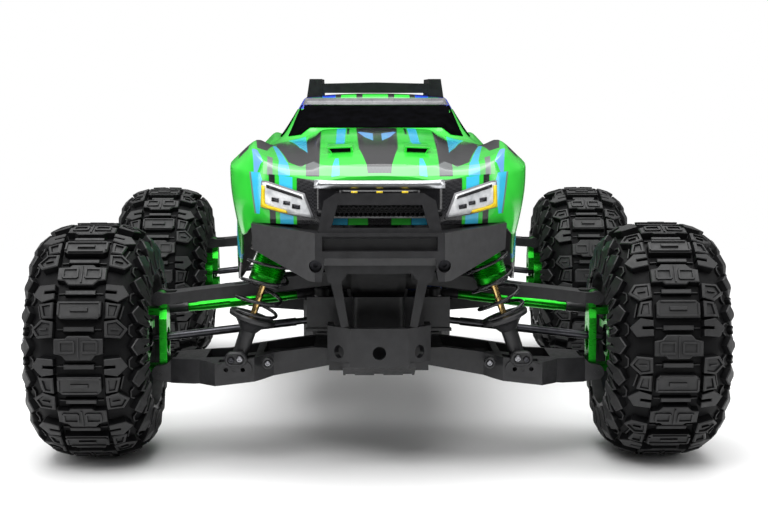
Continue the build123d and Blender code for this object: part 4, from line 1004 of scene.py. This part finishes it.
def lamps_and_trim(tree):
    """Lamps, windows, grille, vents and strips on the shell."""
    lamp = [(42, 169.8), (57, 171.8), (61.5, 172.6), (74.2, 175.2), (73.6, 190.4), (71, 190.4), (47.5, 183.8)]
    amber = [
        (57, 171.8), (61.5, 172.4), (74.4, 175), (73.8, 188.6), (71.9, 188.2), (71.9, 177.4), (69.6, 176),
        (58, 173.6),
    ]
    brow = [(47.6, 180.9), (70.8, 187.2), (70.8, 189.2), (48.2, 182.9)]
    cells = (
        [(62.8, 178.3), (67.4, 178.9), (67.2, 181.3), (62.6, 180.9)],
        [(55.6, 176.8), (59.8, 177.2), (59.6, 179.5), (55.4, 179.2)],
        [(49.2, 174.6), (54.2, 175.0), (54.0, 177.8), (49.0, 177.2)],
    )
    sides = (("left", list, 1), ("right", flipped, -1))
    for side, facing, sign in sides:
        for name, outline, lift, thick, material in (
            ("bezel", shrink(lamp, -1.0), 0.1, 0.7, STRIP_GREY), ("lens", lamp, 0.8, 0.5, LENS),
            ("amber", amber, 1.3, 0.5, LAMP_YELLOW), ("brow", brow, 1.3, 0.4, BLACK_GLOSS),
        ):
            conform(f"lamp_{name}_{side}", tree, "front", facing(outline), lift, thick, material, 3)
        for k, cell in enumerate(cells):
            conform(f"lamp_cell_{side}_{k}", tree, "front", facing(cell), 1.3, 0.4, DARK_STEEL, 2)
    strip = [(-40.6, 187.8), (40.6, 187.8), (40.2, 192.8), (-40.2, 192.8)]
    conform("nose_panel", tree, "front", band(39, 170.6, 193), 0.1, 0.4, BLACK_GLOSS)
    conform("nose_lip", tree, "front", band(36, 169.4, 170.6), 0.2, 1.2, LENS)
    conform("nose_strip", tree, "front", strip, 0.6, 1.0, CHROME)
    conform("light_bar", tree, "front", band(25, 184.2, 187), 0.6, 1.2, BLACK_GLOSS)
    for k in (-1, 0, 1):
        glow = [(u + LAMP_GAP * k, v) for u, v in band(2, 184.4, 186.4)]
        conform(f"light_bar_lamp_{k + 1}", tree, "front", glow, 1.9, 0.5, LAMP_YELLOW)
    half_screen = [(50, 220.3), (52, 219), (57, 215), (67, 213.4), (57.9, 236.6)]
    roof_strip = [(-56.8, 237), (56.8, 237), (55, 242), (-55, 242)]
    conform("windscreen", tree, "screen", flipped(half_screen) + half_screen, *GLASS, SMOKE, 3)
    conform("roof_strip", tree, "screen", roof_strip, 0.15, 0.4, STRIP_GREY)
    front_window = [(-26, 212.6), (34, 212), (34, 233), (0, 233.4)]
    rear_window = [(40, 212), (92, 211.6), (86, 233.6), (40, 234)]
    for side in ("left", "right"):
        conform(f"side_window_front_{side}", tree, side, front_window, *GLASS, SMOKE)
        conform(f"side_window_rear_{side}", tree, side, rear_window, *GLASS, SMOKE)
    conform("rear_window", tree, "back", [(-60, 213), (60, 213), (55, 233), (-55, 233)], *GLASS, SMOKE)
    tail = [(66, 176), (84, 176), (82, 191), (66, 191)]
    for side, facing, sign in sides:
        conform(f"tail_lamp_{side}", tree, "back", facing(tail), 0.2, 1.2, LAMP_RED, 3)
        hood_scoop(f"hood_scoop_{side}", tree, sign)
    conform("tail_panel", tree, "back", band(60, 160, 188), 0.1, 0.6, BLACK_GLOSS)


def hood_scoop(name, tree, sign):
    """Raised scoop on the hood: an open mouth in front, sloping into the hood behind."""
    builder = Builder()

    def over_hood(a, y, rise):
        hit, *_ = tree.ray_cast(Vector((sign * a, y, 400)) * MM, Vector((0, 0, -1)))
        return Vector((sign * a, y, hit.z / MM + rise))

    rings = []
    for y, rise in ((-218, 3.8), (-206, 3.6), (-190, 2.4), (-172, 0.9), (-156, -0.6)):
        spans = ((16.4, -0.6), (17.4, rise), (33.6, rise), (30.6, -0.6))
        rings.append(builder.points([over_hood(a, y, up) for a, up in spans]))
    builder.bridge(rings)
    mouth = [over_hood(a, -218, up) for a, up in ((18.2, 0.1), (18.4, 3.1), (32.2, 3.1), (30.2, 0.1))]
    front = builder.points(mouth)
    builder.bridge([rings[0], front])
    builder.slot = 1
    back = builder.points([p + Vector((0, 6, 0)) for p in mouth])
    builder.bridge([front, back])
    builder.face(back)
    piece = builder.done(name, [PAINT, BLACK_GLOSS], 30)
    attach(piece, "body_cover")


def honeycomb():
    """Grille of hexagonal cells in front of the nose, seen through the bumper's hoop."""
    builder = Builder()
    cell = 1.7
    for row in range(3):
        for column in range(-10, 11):
            x = (column + 0.5 * (row % 2)) * cell * math.sqrt(3)
            z = 172.0 + row * cell * 1.5
            if abs(x) > 29:
                continue
            outer, inner = cell * 0.99, cell * 0.74
            rings = []
            for depth, radius in ((-264.8, outer), (-266.2, outer), (-266.2, inner), (-264.6, inner)):
                turns = [math.radians(60 * k) for k in range(6)]
                rings.append(builder.points([
                    (x + radius * math.sin(t), depth, z + radius * math.cos(t)) for t in turns
                ]))
            builder.bridge(rings)
    piece = builder.done("grille_mesh", CASE, 30)
    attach(piece, "body_cover")


# ---- carried-over parts
FINISHES = {
    "caster_block": (GREEN, 0.5), "steering_block": (GREEN, 0.5), "axle_carrier": (GREEN, 0.5),
    "half_shaft": (DARK_STEEL, 0.3), "centre_shaft": (STEEL, 0.3),
    "lower_arm": (NYLON, 0.8), "upper_arm": (NYLON, 0.7), "fasteners": (DARK_STEEL, 0.15),
    "chassis_tub": (NYLON_MATTE, 0.8), "gearbox_housings": (NYLON, 1.0), "skid_plates": (NYLON, 0.8),
    "shock_towers": (NYLON, 0.6), "bumper": (NYLON, 1.1), "roof_skid": (NYLON, 0.9),
    "motor_pinion": (STEEL, 0.0), "motor": (DARK_STEEL, 0.3), "spur_gear": (CASE, 0.0),
    "servo_horn": (NYLON, 0.4), "servo": (CASE, 0.5), "idler_crank": (NYLON, 0.4), "drag_link": (NYLON, 0.4),
    "esc": (CASE, 0.5), "receiver_box": (CASE, 0.6), "battery": (BATTERY, 0.4),
}


def carried_over():
    """Gives each CAD part that stays in view its finish and softens its edges."""
    for name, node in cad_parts.items():
        for prefix, (material, width) in FINISHES.items():
            if name.startswith(prefix):
                node.data.materials.clear()
                node.data.materials.append(material)
                if width:
                    bevel(node, width)
                break


def floor():
    """Pale round floor that fades into the white behind it."""
    builder = Builder()
    turns = [2 * math.pi * k / 64 for k in range(64)]
    circles = [[(r * math.cos(t), r * math.sin(t), 0) for t in turns] for r in (0.1, 400, 800, 1600)]
    builder.bridge([builder.points(circle) for circle in circles])
    made = Shader("pale_floor", (0.9, 0.9, 0.9), 0.7, specular=0.2)
    made.color(made.ramp(made.noise(6, 2), (0.89, 0.89, 0.89), (0.91, 0.91, 0.91)))
    reach = made.nodes.new("ShaderNodeVectorMath")
    reach.operation = "LENGTH"
    made.set(reach, 0, made.place())
    fade = made.nodes.new("ShaderNodeMapRange")
    made.set(fade, "Value", reach.outputs["Value"])
    for socket, value in (("From Min", 0.5), ("From Max", 1.3), ("To Min", 1.0), ("To Max", 0.0)):
        made.set(fade, socket, value)
    made.set(made.bsdf, "Alpha", fade.outputs["Result"])
    builder.done("floor", made.material)


look_at_object()
studio()
floor()
carried_over()
wheels()
dampers()
toe_links()
arm_bosses()
shell_tree = body_shell()
lamps_and_trim(shell_tree)
honeycomb()
